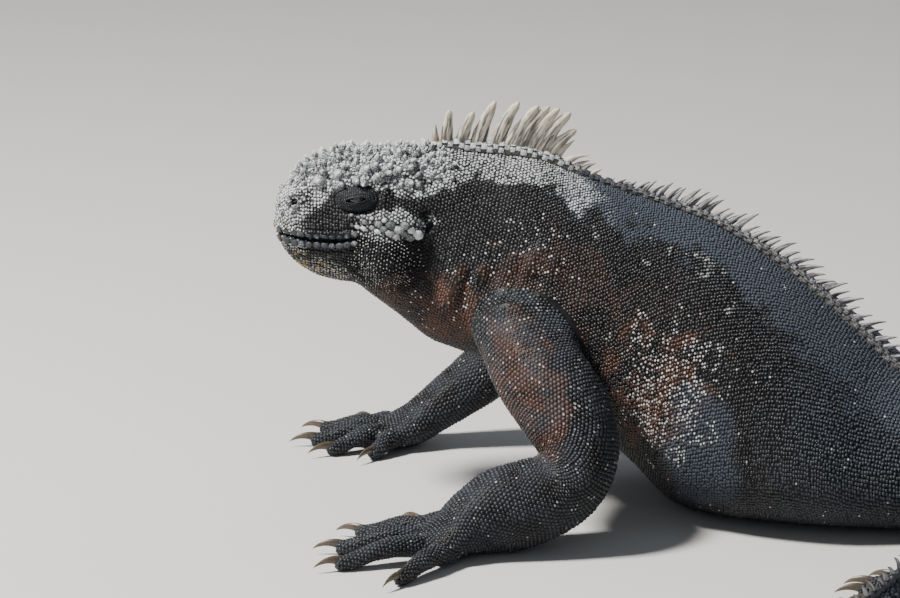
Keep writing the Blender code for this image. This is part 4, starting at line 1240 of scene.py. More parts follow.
def read_many(grid, roots):
    """Values of another grid at the rings and turns of the roots."""
    out = np.empty((len(roots), 3))
    turns = roots["turn"] * grid.shape[1]
    for ring in np.unique(roots["ring"]):
        here = roots["ring"] == ring
        out[here] = read_ring(grid, ring, turns[here])
    return out


def body_scales(grid, surface, taken):
    """The small scales of the head, trunk and tail."""
    pitches = np.array([PITCH[name] for name, _ in CUTS])
    ends = np.array([ring_at(name) for name, _ in CUTS])
    roots = rows_over(grid, lambda ring: float(np.interp(ring, ends, pitches)), 1.0)
    roots = loosened(roots, 0.1)
    roots = laid_on(surface, roots)
    roots = thinned(roots, taken, 0.78)
    return uncrowded(roots)


def loosened(roots, share):
    """The roots moved a little from their even places."""
    draw = np.random.default_rng(len(roots))
    width = roots["wide"][:, None] * share
    count = len(roots)
    slid = roots["back"] * draw.normal(0, 1, (count, 1))
    slid += np.cross(roots["up"], roots["back"]) * draw.normal(0, 1, (count, 1))
    return roots.with_values(at=roots["at"] + slid * width)


def with_height(roots, share):
    """Scales as high as a share of their width, a little uneven."""
    draw = np.random.default_rng(len(roots))
    count = len(roots)
    width = np.minimum(roots["wide"], 4.5) * draw.uniform(0.92, 1.08, count)
    long = np.clip(roots["long"], 0.6 * roots["wide"], 1.35 * roots["wide"])
    long *= draw.uniform(0.98, 1.12, count)
    high = np.minimum(share * width * draw.uniform(0.7, 1.25, count), 1.2)
    return roots.with_values(wide=width, long=long, high=high)
# Crest

def body_frame(along):
    """The top of the back at a distance along the body: point, up, back and side."""
    place = float(place_of(along))
    here = bent(section(place, np.zeros(1), -SCALE_HIGH))[0]
    behind = bent(section(place + 0.02, np.zeros(1), -SCALE_HIGH))[0]
    back = direction(behind - here)
    side = direction(np.cross((0, 0, 1.0), back))
    up = direction(np.cross(back, side))
    return here, up, back, side


def crest_rows():
    """Every spine of the crest: distance along the body, length and lean."""
    rows = list(CREST)
    draw = random.Random(4)
    along = CREST_BACK_FROM
    last = STATIONS[-1][0][0] - 12
    while along < last:
        length = float(np.interp(along, *zip(*CREST_LENGTH)))
        lean = float(np.interp(along, *zip(*CREST_LEAN)))
        rows.append((along, length * draw.uniform(0.72, 1.08), lean + draw.uniform(-7, 7)))
        along += float(np.interp(along, *zip(*CREST_STEP))) * draw.uniform(0.85, 1.15)
    return rows


def spine_width(share, blunt):
    """Width of a spine along its length, as a share of that at its foot."""
    if not blunt:
        return 1 - share**1.1 * 0.94
    width = 1 - 0.6 * share**1.2
    if share > 0.86:
        width *= math.sqrt(max(1 - ((share - 0.86) / 0.155) ** 2, 0.04))
    return width


def spine_form(along, length, lean, draw, levels=10, sides=12):
    """A curved blade with its foot sunk in the back: points, faces, and where each point grew."""
    root, up, back, side = body_frame(along)
    blunt = length > BLUNT_FROM
    half = 1.9 + 0.095 * length if blunt else 1.4 + 0.095 * length
    thick = 0.75 + 0.034 * length
    angle = math.radians(lean)
    turns = (np.arange(sides) + 0.5) * 2 * math.pi / sides
    sway = draw.uniform(-0.07, 0.07)
    curl = draw.uniform(0.3, 0.6)
    rings, grown = [], []
    for share in np.linspace(0, 1, levels) ** 0.9:
        turn = angle * (1 - curl + curl * share)
        rise = share * length * 0.97
        middle = root - up * 1.8 * (1 - share) ** 4 + rise * (up * math.cos(turn) + back * math.sin(turn))
        middle = middle + side * sway * rise
        width = half * spine_width(share, blunt) * (1 + 0.06 * math.sin(share * 17 + along))
        flat = thick * (1 - 0.55 * share if blunt else 1 - 0.85 * share)
        lean_back = math.cos(turn) * back - math.sin(turn) * up
        groove = 1 - 0.22 * np.cos(2 * turns) - 0.12 * np.cos(5 * turns + along)
        across = width * np.cos(turns)
        rings.append(middle + lean_back * across[:, None] + side * (flat * np.sin(turns) * groove)[:, None])
        grown.append(np.column_stack([across, np.full(sides, rise), np.full(sides, along * 3.7)]))
    points, faces = closed_grid(np.array(rings))
    grown = np.concatenate([*grown, grown[0][:1], grown[-1][:1]])
    high = np.concatenate([np.repeat(np.linspace(0, 1, levels), sides), [0.0, 1.0]])
    return points, faces, grown, high


def finished_piece(name, points, faces, finish, high=None, grown=None):
    """A closed mesh with its finish, riding on the body."""
    mesh = placed_mesh(name, points, faces)
    facing_out(mesh)
    mesh.shade_smooth()
    if high is not None:
        store_values(mesh, "high", high)
    if grown is not None:
        store_values(mesh, "grown", grown)
    mesh.materials.append(finish)
    keep_in_box(mesh)
    obj = linked(name, mesh)
    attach(obj, "root")
    return obj


def crest_piece(name, rows, finish):
    """Spines joined in one mesh."""
    draw = random.Random(12)
    forms = [spine_form(along, length, lean, draw) for along, length, lean in rows]
    points, faces = joined([form[:2] for form in forms])
    finished_piece(name, points, faces, finish, np.concatenate([f[3] for f in forms]),
                   np.concatenate([f[2] for f in forms]))


def wall_grid(sides=20):
    """The low wall along the back that the spines rise from, as rings."""
    turns = np.arange(sides) * 2 * math.pi / sides
    rings = []
    for along in np.arange(-67.0, STATIONS[-1][0][0] - 14, 1.5):
        root, up, _, side = body_frame(along)
        high = float(np.interp(along, *zip(*CREST_WALL)))
        half = 1.15 + 0.2 * high
        rise = (high + 1.6) / 2 * np.cos(turns) + (high - 1.6) / 2
        rings.append(root + side * (half * np.sin(turns))[:, None] + up * rise[:, None])
    return np.array(rings)


def wall_plates(grid):
    """Square plates on both sides of the wall, with their marks."""
    roots = rows_over(grid, lambda ring: 3.1, 1.0)
    draw = np.random.default_rng(31)
    turn = np.minimum(roots["turn"], 1 - roots["turn"])
    roots = roots.kept((turn > 0.03) & (turn < 0.27))
    count = len(roots)
    size = draw.uniform(0.9, 1.15, count)
    share = roots["ring"] / len(grid)
    pale = np.interp(share * 920 - 67, (-67, 0, 12, 60, 300), (0.8, 0.75, 0.1, 0.4, 0.1))
    pale *= draw.uniform(0.6, 1.0, count)
    rust = 0.25 * (draw.random(count) < 0.2)
    marks = marked(draw, count, crust=pale, rust=rust, dust=np.full(count, 0.4), white=0.2 * pale)
    return roots.with_values(long=3.0 * size, wide=2.9 * size, high=0.5 * size, spot_u=share,
                             spot_v=roots["turn"], **marks)


# Eyes and lids

EYE_OUT = direction(np.array([-0.12, -1.0, 0.1]))
LID_OPENING = (4.7, 1.25, 1.0)  # half its length, and how far it opens up and down
LID_REACH = (11.5, 7.4, 6.4)
LID_BULGE = (14.0, 7.7, 9.2)  # half its length and height, and how far it stands out from the eye


def eye_axes(side):
    """Outward, forward and up directions of an eye. side is 1 for the left."""
    out = EYE_OUT * (1, side, 1)
    ahead = direction(np.array([-1.0, 0, -0.12]) + out * out[0])
    up = np.cross(out, ahead)
    return out, ahead, up if up[2] > 0 else -up


def eye_centre(side):
    return np.array([EYE[0], -side * EYE[1], EYE[2]])


def ball_grid(side, radius, around=40, rings=22):
    out, ahead, up = eye_axes(side)
    turns = np.arange(around) * 2 * math.pi / around
    grid = []
    for i in range(1, rings):
        polar = math.pi * i / rings
        ring = ahead * np.cos(turns)[:, None] + up * np.sin(turns)[:, None]
        grid.append(eye_centre(side) + radius * (out * math.cos(polar) + math.sin(polar) * ring))
    return np.array(grid)


def lid_grid(side, around=88, rings=26):
    """Both lids as one wrinkled fold round a half shut opening, under the skin of the socket."""
    out, ahead, up = eye_axes(side)
    turns = np.arange(around) * 2 * math.pi / around
    c, s = np.cos(turns), np.sin(turns)
    grid = []
    for share in np.linspace(-0.05, 1, rings):
        spread = max(share, 0)
        a = c * (LID_OPENING[0] + (LID_REACH[0] - LID_OPENING[0]) * spread)
        upper = LID_OPENING[1] + (LID_REACH[1] - LID_OPENING[1]) * spread
        lower = LID_OPENING[2] + (LID_REACH[2] - LID_OPENING[2]) * spread
        b = s * np.where(s > 0, upper, lower)
        inside = 1 - (a / LID_BULGE[0]) ** 2 - (b / LID_BULGE[1]) ** 2
        stand = LID_BULGE[2] * np.sqrt(np.clip(inside, 0.02, 1))
        wrinkle = 0.3 * np.sin(spread * 27 + 0.4 * np.sin(3 * turns)) * ease(spread, 0.05, 0.2)
        wrinkle = wrinkle * (0.55 + 0.45 * np.abs(s))
        rim = 0.35 * math.exp(-(((share - 0.05) / 0.05) ** 2))
        stand = stand + wrinkle + rim - 1.2 * (share < 0) + 0.35 * np.maximum(s, 0) * (1 - spread)
        grid.append(eye_centre(side) + out * stand[:, None] + ahead * a[:, None] + up * b[:, None])
    return np.array(grid)


def strip_faces(count, sides):
    """Faces between the rings of an open tube."""
    faces = []
    for i in range(count - 1):
        for k in range(sides):
            a, b = i * sides + k, i * sides + (k + 1) % sides
            faces.append((a, b, b + sides, a + sides))
    return faces


def lids_piece(side, name, finish):
    grid = lid_grid(side)
    centre = eye_centre(side)
    inner = centre + (grid[::-1] - centre) * 0.93
    loop = np.concatenate([grid, inner])
    count, sides = loop.shape[:2]
    last = (count - 1) * sides
    faces = strip_faces(count, sides)
    faces += [(last + k, last + (k + 1) % sides, (k + 1) % sides, k) for k in range(sides)]
    obj = finished_piece(name, loop.reshape(-1, 3), faces, finish)
    draw = np.random.default_rng(41)
    marks = marked(draw, count * sides, dust=np.full(count * sides, 0.12))
    marks["tone"] = 0.4 * marks["tone"]
    for mark, row in marks.items():
        store_values(obj.data, mark, row)


def lid_scales(side):
    """Small grains over the lids, with their marks."""
    grid = lid_grid(side)[5:21]
    roots = uncrowded(rows_over(grid, lambda ring: 1.15, 0.5), 0.8)
    centre, draw, count = eye_centre(side), np.random.default_rng(43), len(roots)
    width = 1.15 * draw.uniform(0.8, 1.15, count)
    crust = 0.3 * (draw.random(count) < 0.12)
    marks = marked(draw, count, crust=crust, dust=np.full(count, 0.15))
    return roots.with_values(up=direction(roots["at"] - centre), long=width, wide=width, high=0.32 * width,
                             spot_u=roots["ring"] / len(grid), spot_v=roots["turn"], **marks)


# Claws

def claw_grid(rows, placed, levels=12, sides=12):
    """A curved claw with flat sides and a grooved underside, from inside the toe to its point."""
    forward = toe_line(rows, 3)[2]
    across = np.array([-forward[1], forward[0], 0])
    end = np.array([*rows[1], 0.0])
    point = end + np.array([0, 0, TOE_END + 1.4]) - forward * 1.5
    pitch = math.radians(-22)
    turns = np.arange(sides) * 2 * math.pi / sides
    keel = 1 + 0.12 * np.cos(turns)
    rings = []
    for level in range(levels):
        share = level / levels
        radius = CLAW_RADIUS * (1 - share) ** 0.8 * (0.92 if level else 0.8)
        ahead = forward * math.cos(pitch) - np.array([0, 0, 1.0]) * math.sin(pitch)
        up = np.cross(across, ahead)
        up = up if up[2] > 0 else -up
        ring = point + across * (radius * 0.6 * np.sin(turns))[:, None]
        ring = ring + up * (radius * np.cos(turns) * keel)[:, None]
        ring[:, 2] = np.maximum(ring[:, 2], 0.05)
        rings.append(placed(ring))
        point = point + ahead * CLAW_LENGTH / levels
        pitch += math.radians(CLAW_DROP) / levels
    point[2] = max(point[2], 0.4)
    rings.append(placed([point]) + (rings[-1] - rings[-1].mean(axis=0)) * 0.12)
    return np.array(rings)


def claws_piece(limbs):
    forms, highs = [], []
    for _, _, toes, placed, _, _ in limbs:
        for row in toes:
            grid = claw_grid(row, placed)
            forms.append(closed_grid(grid))
            levels = np.repeat(np.linspace(0, 1, len(grid)), grid.shape[1])
            highs.append(np.concatenate([levels, [0.0, 1.0]]))
    points, faces = joined(forms)
    finished_piece("claws", points, faces, claw_material(), np.concatenate(highs))
# Finishes

CHARCOAL = (0.006, 0.006, 0.007)
CHARCOAL_PALE = (0.028, 0.029, 0.033)
# colour of the scale tops: wear, and a painted highlight
WORN_AND_GLINT = (0.15, 0.158, 0.17)
CRUST = (0.66, 0.68, 0.70)
# painted shade of the crust, in its pits and low on each scale
CRUST_PIT_SHADE = (0.12, 0.128, 0.14)
SAND = (0.52, 0.36, 0.14)
RUST = (0.085, 0.040, 0.026)
DUST = (0.052, 0.064, 0.085)
# white of pale scale tips, and of painted glints
WHITE_TIP_AND_GLINT = (0.74, 0.74, 0.73)
BONE = (0.66, 0.61, 0.50)
BONE_STAIN = (0.34, 0.21, 0.12)
BONE_DARK = (0.085, 0.080, 0.074)
SLATE = (0.022, 0.021, 0.027)
SLATE_PALE = (0.42, 0.41, 0.42)
HORN = (0.075, 0.058, 0.042)


def add(tree, kind, settings=None, **inputs):
    """A node with its settings, and its inputs given as values or as sockets to link."""
    made = tree.nodes.new(kind)
    for name, value in (settings or {}).items():
        setattr(made, name, value)
    for name, value in inputs.items():
        numbered = name[0] == "i" and name[1:].isdigit()
        socket = made.inputs[int(name[1:]) if numbered else name.replace("_", " ")]
        if isinstance(value, bpy.types.NodeSocket):
            tree.links.new(value, socket)
        elif isinstance(value, tuple) and len(value) == 3 and socket.type == "RGBA":
            socket.default_value = (*value, 1.0)
        else:
            socket.default_value = value
    return made


def mixed(tree, share, first, second, blend="MIX"):
    """A colour between two, by a share that may be a value or a socket."""
    made = tree.nodes.new("ShaderNodeMix")
    made.data_type, made.blend_type = "RGBA", blend
    for socket, value in zip((made.inputs[0], made.inputs[6], made.inputs[7]), (share, first, second)):
        if isinstance(value, bpy.types.NodeSocket):
            tree.links.new(value, socket)
        elif isinstance(value, tuple):
            socket.default_value = (*value, 1.0)
        else:
            socket.default_value = value
    return made.outputs[2]


def maths(tree, operation, first, second=0.0, clamp=False):
    made = add(tree, "ShaderNodeMath", {"operation": operation, "use_clamp": clamp}, i0=first, i1=second)
    return made.outputs[0]


def stepped(tree, value, start, end):
    """0 below the start, 1 above the end and smooth between."""
    made = add(tree, "ShaderNodeMapRange", {"interpolation_type": "SMOOTHSTEP"}, Value=value,
               From_Min=start, From_Max=end)
    return made.outputs[0]


def attribute(tree, name):
    return add(tree, "ShaderNodeAttribute", {"attribute_name": name}).outputs["Fac"]


def grain(tree, scale, detail=3.0, roughness=0.6):
    """Noise over Object coordinates, with a scale in features for each metre."""
    where = tree.nodes.new("ShaderNodeTexCoord").outputs["Object"]
    made = add(tree, "ShaderNodeTexNoise", {}, Vector=where, Scale=scale, Detail=detail,
               Roughness=roughness)
    return made.outputs["Fac"]


def scaled(tree, value, factor, offset=0.0, clamp=False):
    """The value times a factor, plus an offset."""
    made = add(tree, "ShaderNodeMath", {"operation": "MULTIPLY_ADD", "use_clamp": clamp}, i0=value,
               i1=factor, i2=offset)
    return made.outputs[0]


def hide_group():
    """The animal's markings: charcoal, rust, dust, crust, sand and white, by masks from the surface, with a
    painted highlight on scale tops and painted shade in creases, between scales and in the crust's pits.
    """
    tree = bpy.data.node_groups.new("hide_markings", "ShaderNodeTree")
    sockets = tree.interface
    for name in ("Crust", "Rust", "Dust", "White", "Dark", "Tone", "Sand", "High"):
        sockets.new_socket(name, in_out="INPUT", socket_type="NodeSocketFloat")
    sockets.new_socket("Color", in_out="OUTPUT", socket_type="NodeSocketColor")
    sockets.new_socket("Roughness", in_out="OUTPUT", socket_type="NodeSocketFloat")
    sockets.new_socket("Height", in_out="OUTPUT", socket_type="NodeSocketFloat")
    marks = tree.nodes.new("NodeGroupInput").outputs
    outside = tree.nodes.new("NodeGroupOutput")
    broad, fine = grain(tree, 90.0, 4.0), grain(tree, 1500.0, 3.0)
    cloud = scaled(tree, broad, 0.9, -0.45)
    tone = maths(tree, "ADD", scaled(tree, marks["Tone"], 0.22, 0.3), cloud, True)
    colour = mixed(tree, tone, CHARCOAL, CHARCOAL_PALE)
    tip = stepped(tree, marks["High"], 0.4, 1.0)
    # Scale tops lighter: wear, and a painted highlight on each scale.
    worn_and_glint = maths(tree, "MULTIPLY", tip, scaled(tree, marks["Tone"], 0.25, 0.22))
    worn_and_glint = maths(tree, "MULTIPLY", worn_and_glint, fine, True)
    colour = mixed(tree, worn_and_glint, colour, WORN_AND_GLINT)
    rusty = stepped(tree, maths(tree, "ADD", broad, cloud), 0.15, 0.7)
    rusty = maths(tree, "MULTIPLY", marks["Rust"], rusty)
    colour = mixed(tree, rusty, colour, RUST)
    dusty = maths(tree, "MULTIPLY", marks["Dust"], scaled(tree, fine, 0.5, 0.6), True)
    colour = mixed(tree, dusty, colour, DUST)
    cover = maths(tree, "ADD", scaled(tree, marks["Crust"], 0.75), scaled(tree, tip, 0.3))
    cover = stepped(tree, maths(tree, "ADD", cover, scaled(tree, fine, 1.3, -0.65)), 0.4, 0.95)
    crusty = maths(tree, "MULTIPLY", cover, stepped(tree, marks["Crust"], 0.02, 0.3))
    # Painted shade: the crust darkens in the pits of its bump and low on each scale.
    crust_out_of_pit_shade = stepped(tree, maths(tree, "ADD", fine, scaled(tree, tip, 0.3, -0.06)), 0.32, 0.62)
    colour = mixed(tree, crusty, colour, mixed(tree, crust_out_of_pit_shade, CRUST_PIT_SHADE, CRUST))
    sandy = maths(tree, "MULTIPLY", marks["Sand"], stepped(tree, fine, 0.4, 0.6))
    colour = mixed(tree, sandy, colour, SAND)
    # White on scale tops: pale tips, and in part painted glints.
    white_tip_and_glint = maths(tree, "MULTIPLY", marks["White"], stepped(tree, marks["High"], 0.5, 0.9))
    colour = mixed(tree, white_tip_and_glint, colour, WHITE_TIP_AND_GLINT)
    # Painted shade in creases, openings and between the scales, and darker lids, from the dark mark.
    colour = mixed(tree, marks["Dark"], colour, (0.006, 0.006, 0.006))
    tree.links.new(colour, outside.inputs["Color"])
    rough = scaled(tree, maths(tree, "MAXIMUM", marks["Crust"], marks["Dust"]), 0.34, 0.36)
    rough = maths(tree, "ADD", rough, scaled(tree, fine, 0.25, -0.125), True)
    tree.links.new(rough, outside.inputs["Roughness"])
    tree.links.new(maths(tree, "ADD", fine, scaled(tree, broad, 0.3)), outside.inputs["Height"])
    return tree


def plain_material(name):
    finish = bpy.data.materials.new(name)
    finish.use_nodes = True
    return finish, finish.node_tree, finish.node_tree.nodes["Principled BSDF"]


def bumped(tree, shader, height, strength, distance):
    made = add(tree, "ShaderNodeBump", {}, Height=height, Strength=strength, Distance=distance)
    tree.links.new(made.outputs[0], shader.inputs["Normal"])


def hide_material(name, group, with_tips, bump, specular=0.5):
    """The finish of the skin or of the scales on it, from the same markings."""
    finish, tree, shader = plain_material(name)
    marks = tree.nodes.new("ShaderNodeGroup")
    marks.node_tree = group
    for mark in MARKS:
        tree.links.new(attribute(tree, mark), marks.inputs[mark.title()])
    if with_tips:
        tree.links.new(attribute(tree, "high"), marks.inputs["High"])
    tree.links.new(marks.outputs["Color"], shader.inputs["Base Color"])
    tree.links.new(marks.outputs["Roughness"], shader.inputs["Roughness"])
    bumped(tree, shader, marks.outputs["Height"], bump, 0.0004)
    shader.inputs["Specular IOR Level"].default_value = specular
    return finish


def spine_material(name, pale, stain, dark, tip):
    """Horn of the crest, streaked from root to tip, dark at its foot."""
    finish, tree, shader = plain_material(name)
    grown = add(tree, "ShaderNodeAttribute", {"attribute_name": "grown"}).outputs["Vector"]
    along = add(tree, "ShaderNodeMapping", {}, Vector=grown, Scale=(0.9, 0.09, 1.0)).outputs[0]
    noisy = add(tree, "ShaderNodeTexNoise", {}, Vector=along, Scale=1.0, Detail=5.0, Roughness=0.62)
    streaks = noisy.outputs["Fac"]
    broad = grain(tree, 140.0, 3.0)
    high = attribute(tree, "high")
    paler = maths(tree, "ADD", streaks, scaled(tree, high, 0.16, -0.08))
    colour = mixed(tree, stepped(tree, paler, 0.38, 0.6), dark, pale)
    colour = mixed(tree, maths(tree, "MULTIPLY", stepped(tree, broad, 0.55, 0.7), 0.6), colour, stain)
    low = maths(tree, "SUBTRACT", 1.0, stepped(tree, high, 0.0, 0.3))
    colour = mixed(tree, maths(tree, "MULTIPLY", low, 0.55), colour, dark)
    colour = mixed(tree, maths(tree, "MULTIPLY", stepped(tree, high, 0.7, 1.0), 0.75), colour, tip)
    tree.links.new(colour, shader.inputs["Base Color"])
    shader.inputs["Roughness"].default_value = 0.5
    bumped(tree, shader, streaks, 0.6, 0.0008)
    return finish


def claw_material():
    finish, tree, shader = plain_material("claw_horn")
    fibres = grain(tree, 700.0, 4.0)
    colour = mixed(tree, stepped(tree, fibres, 0.35, 0.7), (0.022, 0.019, 0.018), HORN)
    colour = mixed(tree, maths(tree, "MULTIPLY", attribute(tree, "high"), 0.45), colour, (0.25, 0.19, 0.12))
    tree.links.new(colour, shader.inputs["Base Color"])
    shader.inputs["Roughness"].default_value = 0.32
    bumped(tree, shader, fibres, 0.25, 0.0003)
    return finish


def eye_material():
    finish, tree, shader = plain_material("wet_eye")
    colour = mixed(tree, grain(tree, 900.0), (0.004, 0.003, 0.003), (0.016, 0.010, 0.006))
    tree.links.new(colour, shader.inputs["Base Color"])
    shader.inputs["Roughness"].default_value = 0.06
    shader.inputs["Coat Weight"].default_value = 1.0
    return finish


# Stage

def pale_floor():
    """A plain pale floor that reaches far past the picture."""
    half = 30.0
    mesh = bpy.data.meshes.new("floor")
    corners = [(x * half, y * half, 0) for x, y in ((-1, -1), (1, -1), (1, 1), (-1, 1))]
    mesh.from_pydata(corners, [], [(0, 1, 2, 3)])
    finish, _, shader = plain_material("pale_floor")
    shader.inputs["Base Color"].default_value = (0.62, 0.61, 0.59, 1.0)
    shader.inputs["Roughness"].default_value = 0.85
    mesh.materials.append(finish)
    linked("floor", mesh)


def soft_light(name, place, aim, size, power, colour=(1.0, 1.0, 1.0)):
    """A square area light at a place, turned to its aim."""
    lamp = bpy.data.lights.new(name, "AREA")
    lamp.size, lamp.energy, lamp.color = size, power, colour
    obj = bpy.data.objects.new(name, lamp)
    obj.location = place
    obj.rotation_euler = (Vector(aim) - Vector(place)).to_track_quat("-Z", "Y").to_euler()
    bpy.context.scene.collection.objects.link(obj)


def lights():
    """A key from the upper left, as the sun stands in the view, and weak fills."""
    aim = (-0.05, 0.0, 0.08)
    soft_light("key", (-1.25, -0.35, 1.7), aim, 0.32, 100.0, (1.0, 0.97, 0.92))
    soft_light("fill_front", (-0.6, -2.0, 0.8), aim, 1.6, 4.0, (0.86, 0.93, 1.0))
    soft_light("fill_right", (1.6, 1.2, 1.3), aim, 1.2, 7.0, (0.9, 0.95, 1.0))
    world = bpy.data.worlds.new("pale_room")
    world.use_nodes = True
    world.node_tree.nodes["Background"].inputs["Color"].default_value = (0.82, 0.89, 1.0, 1.0)
    world.node_tree.nodes["Background"].inputs["Strength"].default_value = 0.2
    bpy.context.scene.world = world


def camera():
    aim, distance, elevation = Vector((-0.165, 0.011, 0.102)), 2.2, math.radians(15)
    lens = bpy.data.cameras.new("camera")
    lens.lens, lens.sensor_width = 176.0, 36.0
    obj = bpy.data.objects.new("camera", lens)
    obj.location = aim + distance * Vector((0, -math.cos(elevation), math.sin(elevation)))
    obj.rotation_euler = (aim - obj.location).to_track_quat("-Z", "Y").to_euler()
    bpy.context.scene.collection.objects.link(obj)
    bpy.context.scene.camera = obj
# The whole animal

def limb_shapes():
    """Each limb: name, whether it is a front one, toe rows, how it is placed, grid and toe grids."""
    limbs = (
        ("arm_left", True, FRONT_LEFT, FINGERS_LEFT, as_drawn),
        ("arm_right", True, FRONT_RIGHT, FINGERS_RIGHT, as_drawn),
        ("leg_left", False, HIND, TOES, from_hip(1)),
        ("leg_right", False, HIND, TOES, from_hip(-1)),
    )
    return [(name, front, toes, placed, limb_grid(rows, placed), [toe_grid(row, placed) for row in toes])
            for name, front, rows, toes, placed in limbs]


def marked_on_body(roots, straight):
    """The roots with the markings of where they stand on the body."""
    girth = np.linalg.norm(np.diff(straight, axis=1), axis=2).sum(axis=1)
    turn = np.minimum(roots["turn"], 1 - roots["turn"])
    from_top = turn * np.interp(roots["ring"], np.arange(len(girth)), girth)
    marks = body_marks(read_many(straight, roots), from_top)
    # Scales in folds, on the mouth line and at the nostrils get painted shade.
    marks["dark"] = np.maximum(marks["dark"], 0.9 * hollow(roots["at"]))
    return roots.with_values(**marks)


def spots_on(roots, first, last):
    """Each root's place on an unwrap of the skin between two rings."""
    return roots.with_values(spot_u=(roots["ring"] - first) / (last - first), spot_v=roots["turn"])


def face_plates(lying, straight, surface):
    """The large scales of the head, by kind: tubercles, cheek plates and lip plates."""
    tubercles = marked_on_body(tubercle_places(lying, straight, surface), straight)
    tubercles = tubercles.with_values(crust=np.maximum(tubercles["crust"], 0.75),
                                      sand=np.zeros(len(tubercles)))
    cheek = marked_on_body(cheek_places(lying, straight, surface), straight)
    pale = np.random.default_rng(51).uniform(0.1, 1.0, len(cheek)) ** 1.2
    cheek = cheek.with_values(crust=0.9 * pale, white=0.3 * pale, dust=0.5 * (1 - pale), rust=0 * pale)
    lips = lip_places(surface)
    draw, count = np.random.default_rng(52), len(lips)
    crust = draw.uniform(0.0, 0.3, count)
    lips = lips.with_values(**marked(draw, count, crust=crust, dust=np.full(count, 0.35)))
    return {name: spots_on(group, 0.0, ring_at("head"))
            for name, group in (("tubercles", tubercles), ("cheek_plates", cheek), ("lip_plates", lips))}


def trunk_groups(lying, straight, surface, plates):
    """The small scales of the head, trunk and tail, one group for each part."""
    everything = with_height(body_scales(lying, surface, plates), 0.3)
    everything = marked_on_body(everything, straight)
    ear = np.linalg.norm((left_side(everything["at"]) - EAR_AT) / (3.4, 9, 4.8), axis=1)
    nostril = np.linalg.norm(left_side(everything["at"]) - NOSTRIL_AT, axis=1)
    everything = everything.kept((ear > 1) & (nostril > 2.3))
    groups, start = [], 0.0
    for name, _ in CUTS:
        end = ring_at(name)
        inside = (everything["ring"] >= start) & (everything["ring"] < end)
        groups.append((name, spots_on(everything.kept(inside), start, end)))
        start = end
    return groups


def limb_group(limb, surface, taken):
    """The scales of a limb and its toes."""
    _, front, _, _, form, toes = limb
    sets = []
    for i, grid in enumerate((form, *toes)):
        pitch = PITCH["toe"] if i else PITCH["arm" if front else "leg"]
        roots = laid_on(surface, loosened(rows_over(grid, lambda ring: pitch, 0.5), 0.06))
        roots = with_height(uncrowded(thinned(roots, taken)), 0.3)
        share = np.ones(len(roots)) if i else roots["ring"] / len(grid)
        roots = roots.with_values(**limb_marks(roots["at"], share, front))
        spot = (roots["ring"] / len(grid) + i) / (1 + len(toes))
        roots = roots.with_values(spot_u=spot, spot_v=roots["turn"])
        taken = Roots.together([taken, roots])
        sets.append(roots)
    return Roots.together(sets)


def in_jowl(roots):
    """Whether each scale is one of the pointed ones behind and below the mouth's corner."""
    near = left_side(roots["at"])
    return (((near - (-86, -29, 128)) / (21, 40, 17)) ** 2).sum(axis=1) < 1


def scale_pieces(groups, tree, sets, finishes):
    """Joined meshes of the small scales, in lots that stay light enough."""
    for name, roots in groups:
        trunk = name in ("head", "neck", "chest", "belly", "pelvis")
        finish = finishes["head" if name == "head" else "scales"]
        if name == "head":
            cone = in_jowl(roots)
            jowl = roots.kept(cone)
            jowl = jowl.with_values(high=jowl["high"] * 2.2)
            scale_piece("scales_jowl", jowl, tree, sets["cone"], finish, 5)
            roots = roots.kept(~cone)
        lots = max(1, math.ceil(len(roots) / 8800))
        order = np.argsort(roots["turn"] if name in ("chest", "belly") else roots["ring"], kind="stable")
        for lot, chosen in enumerate(np.array_split(order, lots)):
            label = f"scales_{name}" + (f"_{lot + 1}" if lots > 1 else "")
            shapes = sets["bead" if trunk else "keeled"]
            scale_piece(label, roots.kept(chosen), tree, shapes, finish, lot + 1)


def mark_skin(skin, surface, roots):
    """Gives the skin the markings of the scales that stand on it."""
    tree = search_tree(roots["at"])
    nearest = np.array([tree.find(p)[1] for p in surface.points.tolist()])
    for column in MARKS:
        values = roots[column][nearest]
        if column == "white":
            values = values * 0
        if column == "dark":
            # The skin between the scales is darkened all over, and more in creases, as painted shade.
            values = np.clip(0.45 + hollow(surface.points), 0, 1)
        store_values(skin.data, column, values)


def dress_crest(tree, sets, finishes):
    rows = crest_rows()
    bone = spine_material("nuchal_bone", BONE, BONE_STAIN, BONE_DARK, (0.62, 0.55, 0.42))
    slate = spine_material("back_horn", SLATE_PALE, (0.10, 0.095, 0.10), SLATE, (0.03, 0.028, 0.03))
    crest_piece("crest_nape", [r for r in rows if r[0] < 15], bone)
    crest_piece("crest_back", [r for r in rows if 15 <= r[0] < 262], slate)
    crest_piece("crest_tail", [r for r in rows if r[0] >= 262], slate)
    grid = wall_grid()
    points, faces = closed_grid(grid)
    finished_piece("crest_wall", points, faces, bone, np.zeros(len(points)), points)
    scale_piece("crest_plates", wall_plates(grid), tree, sets["square"], finishes["tubercles"], 9)


def dress_eyes(tree, sets, finishes):
    wet = eye_material()
    grains = Roots.together([lid_scales(1), lid_scales(-1)])
    scale_piece("lid_grains", grains, tree, sets["bead"], finishes["scales"], 8)
    for side, word in ((1, "left"), (-1, "right")):
        points, faces = closed_grid(ball_grid(side, EYE_RADIUS))
        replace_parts(finished_piece(f"eyeball_{word}", points, faces, wet), f"eye_{word}")
        lids_piece(side, f"lids_{word}", finishes["skin"])


def hide_finishes():
    """The finishes that share the markings of the hide."""
    group = hide_group()
    return {
        "skin": hide_material("skin_between_scales", group, False, 0.5, 0.15),
        "scales": hide_material("body_scales", group, True, 0.35, 0.32),
        "head": hide_material("head_scales", group, True, 0.6, 0.3),
        "tubercles": hide_material("crusted_tubercles", group, True, 0.9, 0.35),
    }


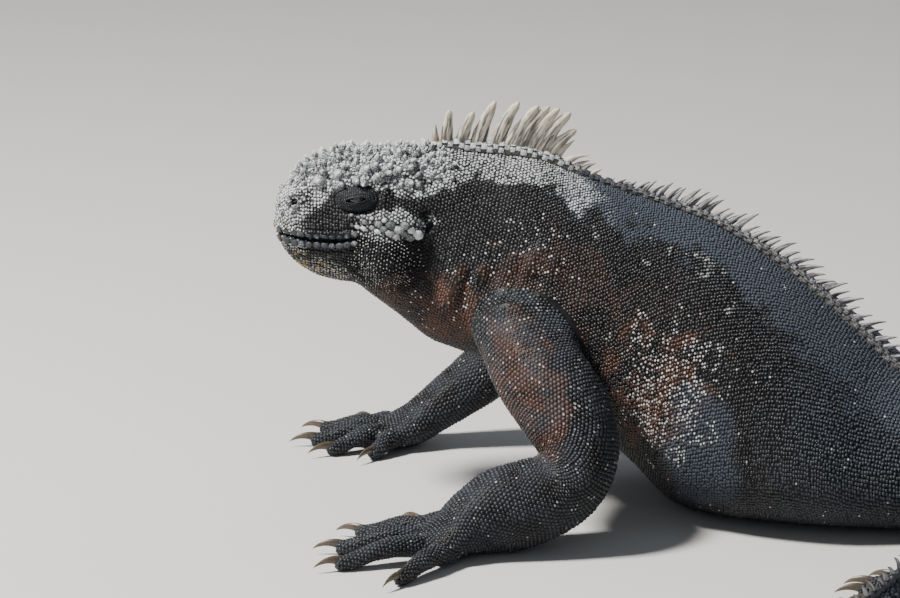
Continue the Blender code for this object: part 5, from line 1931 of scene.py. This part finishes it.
def scale_shapes():
    """The sets of shapes that scales are picked from."""
    return {
        "bead": shape_set("beads", bead_shapes()),
        "keeled": shape_set("keeled_scales", keeled_shapes()),
        "cone": shape_set("cones", cone_shapes()),
        "plate": shape_set("plates", plate_shapes()),
        "square": shape_set("squares", square_shapes()),
        "tubercle": shape_set("tubercle_forms", tubercle_shapes()),
    }


def take_away(sets):
    """Removes the single shapes once every coat is made."""
    for shapes in sets.values():
        for shape in list(shapes.objects):
            bpy.data.objects.remove(shape)
        bpy.data.collections.remove(shapes)


def dress_hide(surface, limbs, tree, sets, finishes):
    """Scales over the body, the limbs and the head, and the roots of all of them."""
    lying, straight, _ = BODY
    plates = face_plates(lying, straight, surface)
    groups = trunk_groups(lying, straight, surface, Roots.together(list(plates.values())))
    taken = Roots.together([roots for _, roots in groups])
    for limb in limbs:
        groups.append((limb[0], limb_group(limb, surface, taken)))
        taken = Roots.together([taken, groups[-1][1]])
    everything = Roots.together([taken, *plates.values()])
    filled = gaps_filled(surface, everything)
    extra = filled.kept(np.arange(len(filled)) >= len(everything))
    scale_pieces(groups, tree, sets, finishes)
    if len(extra):
        scale_piece("scales_in_creases", extra, tree, sets["bead"], finishes["scales"], 7)
    for name, shape, finish, seed in (("tubercles", "tubercle", "tubercles", 3),
                                      ("cheek_plates", "plate", "tubercles", 4),
                                      ("lip_plates", "plate", "head", 6)):
        scale_piece(name, plates[name], tree, sets[shape], finishes[finish], seed)
    return everything


def main():
    limbs = limb_shapes()
    limb_forms = [grid for limb in limbs for grid in (limb[4], *limb[5])]
    skin = skin_mesh([BODY[0], *limb_forms], [limb[4] for limb in limbs])
    surface = Surface(skin.data)
    finishes, tree, sets = hide_finishes(), scale_tree(), scale_shapes()
    mark_skin(skin, surface, dress_hide(surface, limbs, tree, sets, finishes))
    skin.data.materials.append(finishes["skin"])
    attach(skin, "root")
    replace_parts(skin, *[name for name in frame["nodes"] if not name.startswith("eye")])
    dress_eyes(tree, sets, finishes)
    dress_crest(tree, sets, finishes)
    claws_piece(limbs)
    take_away(sets)
    pale_floor()
    lights()
    camera()


BODY = body_grid()
BODY_PLACES = BODY[2]
main()
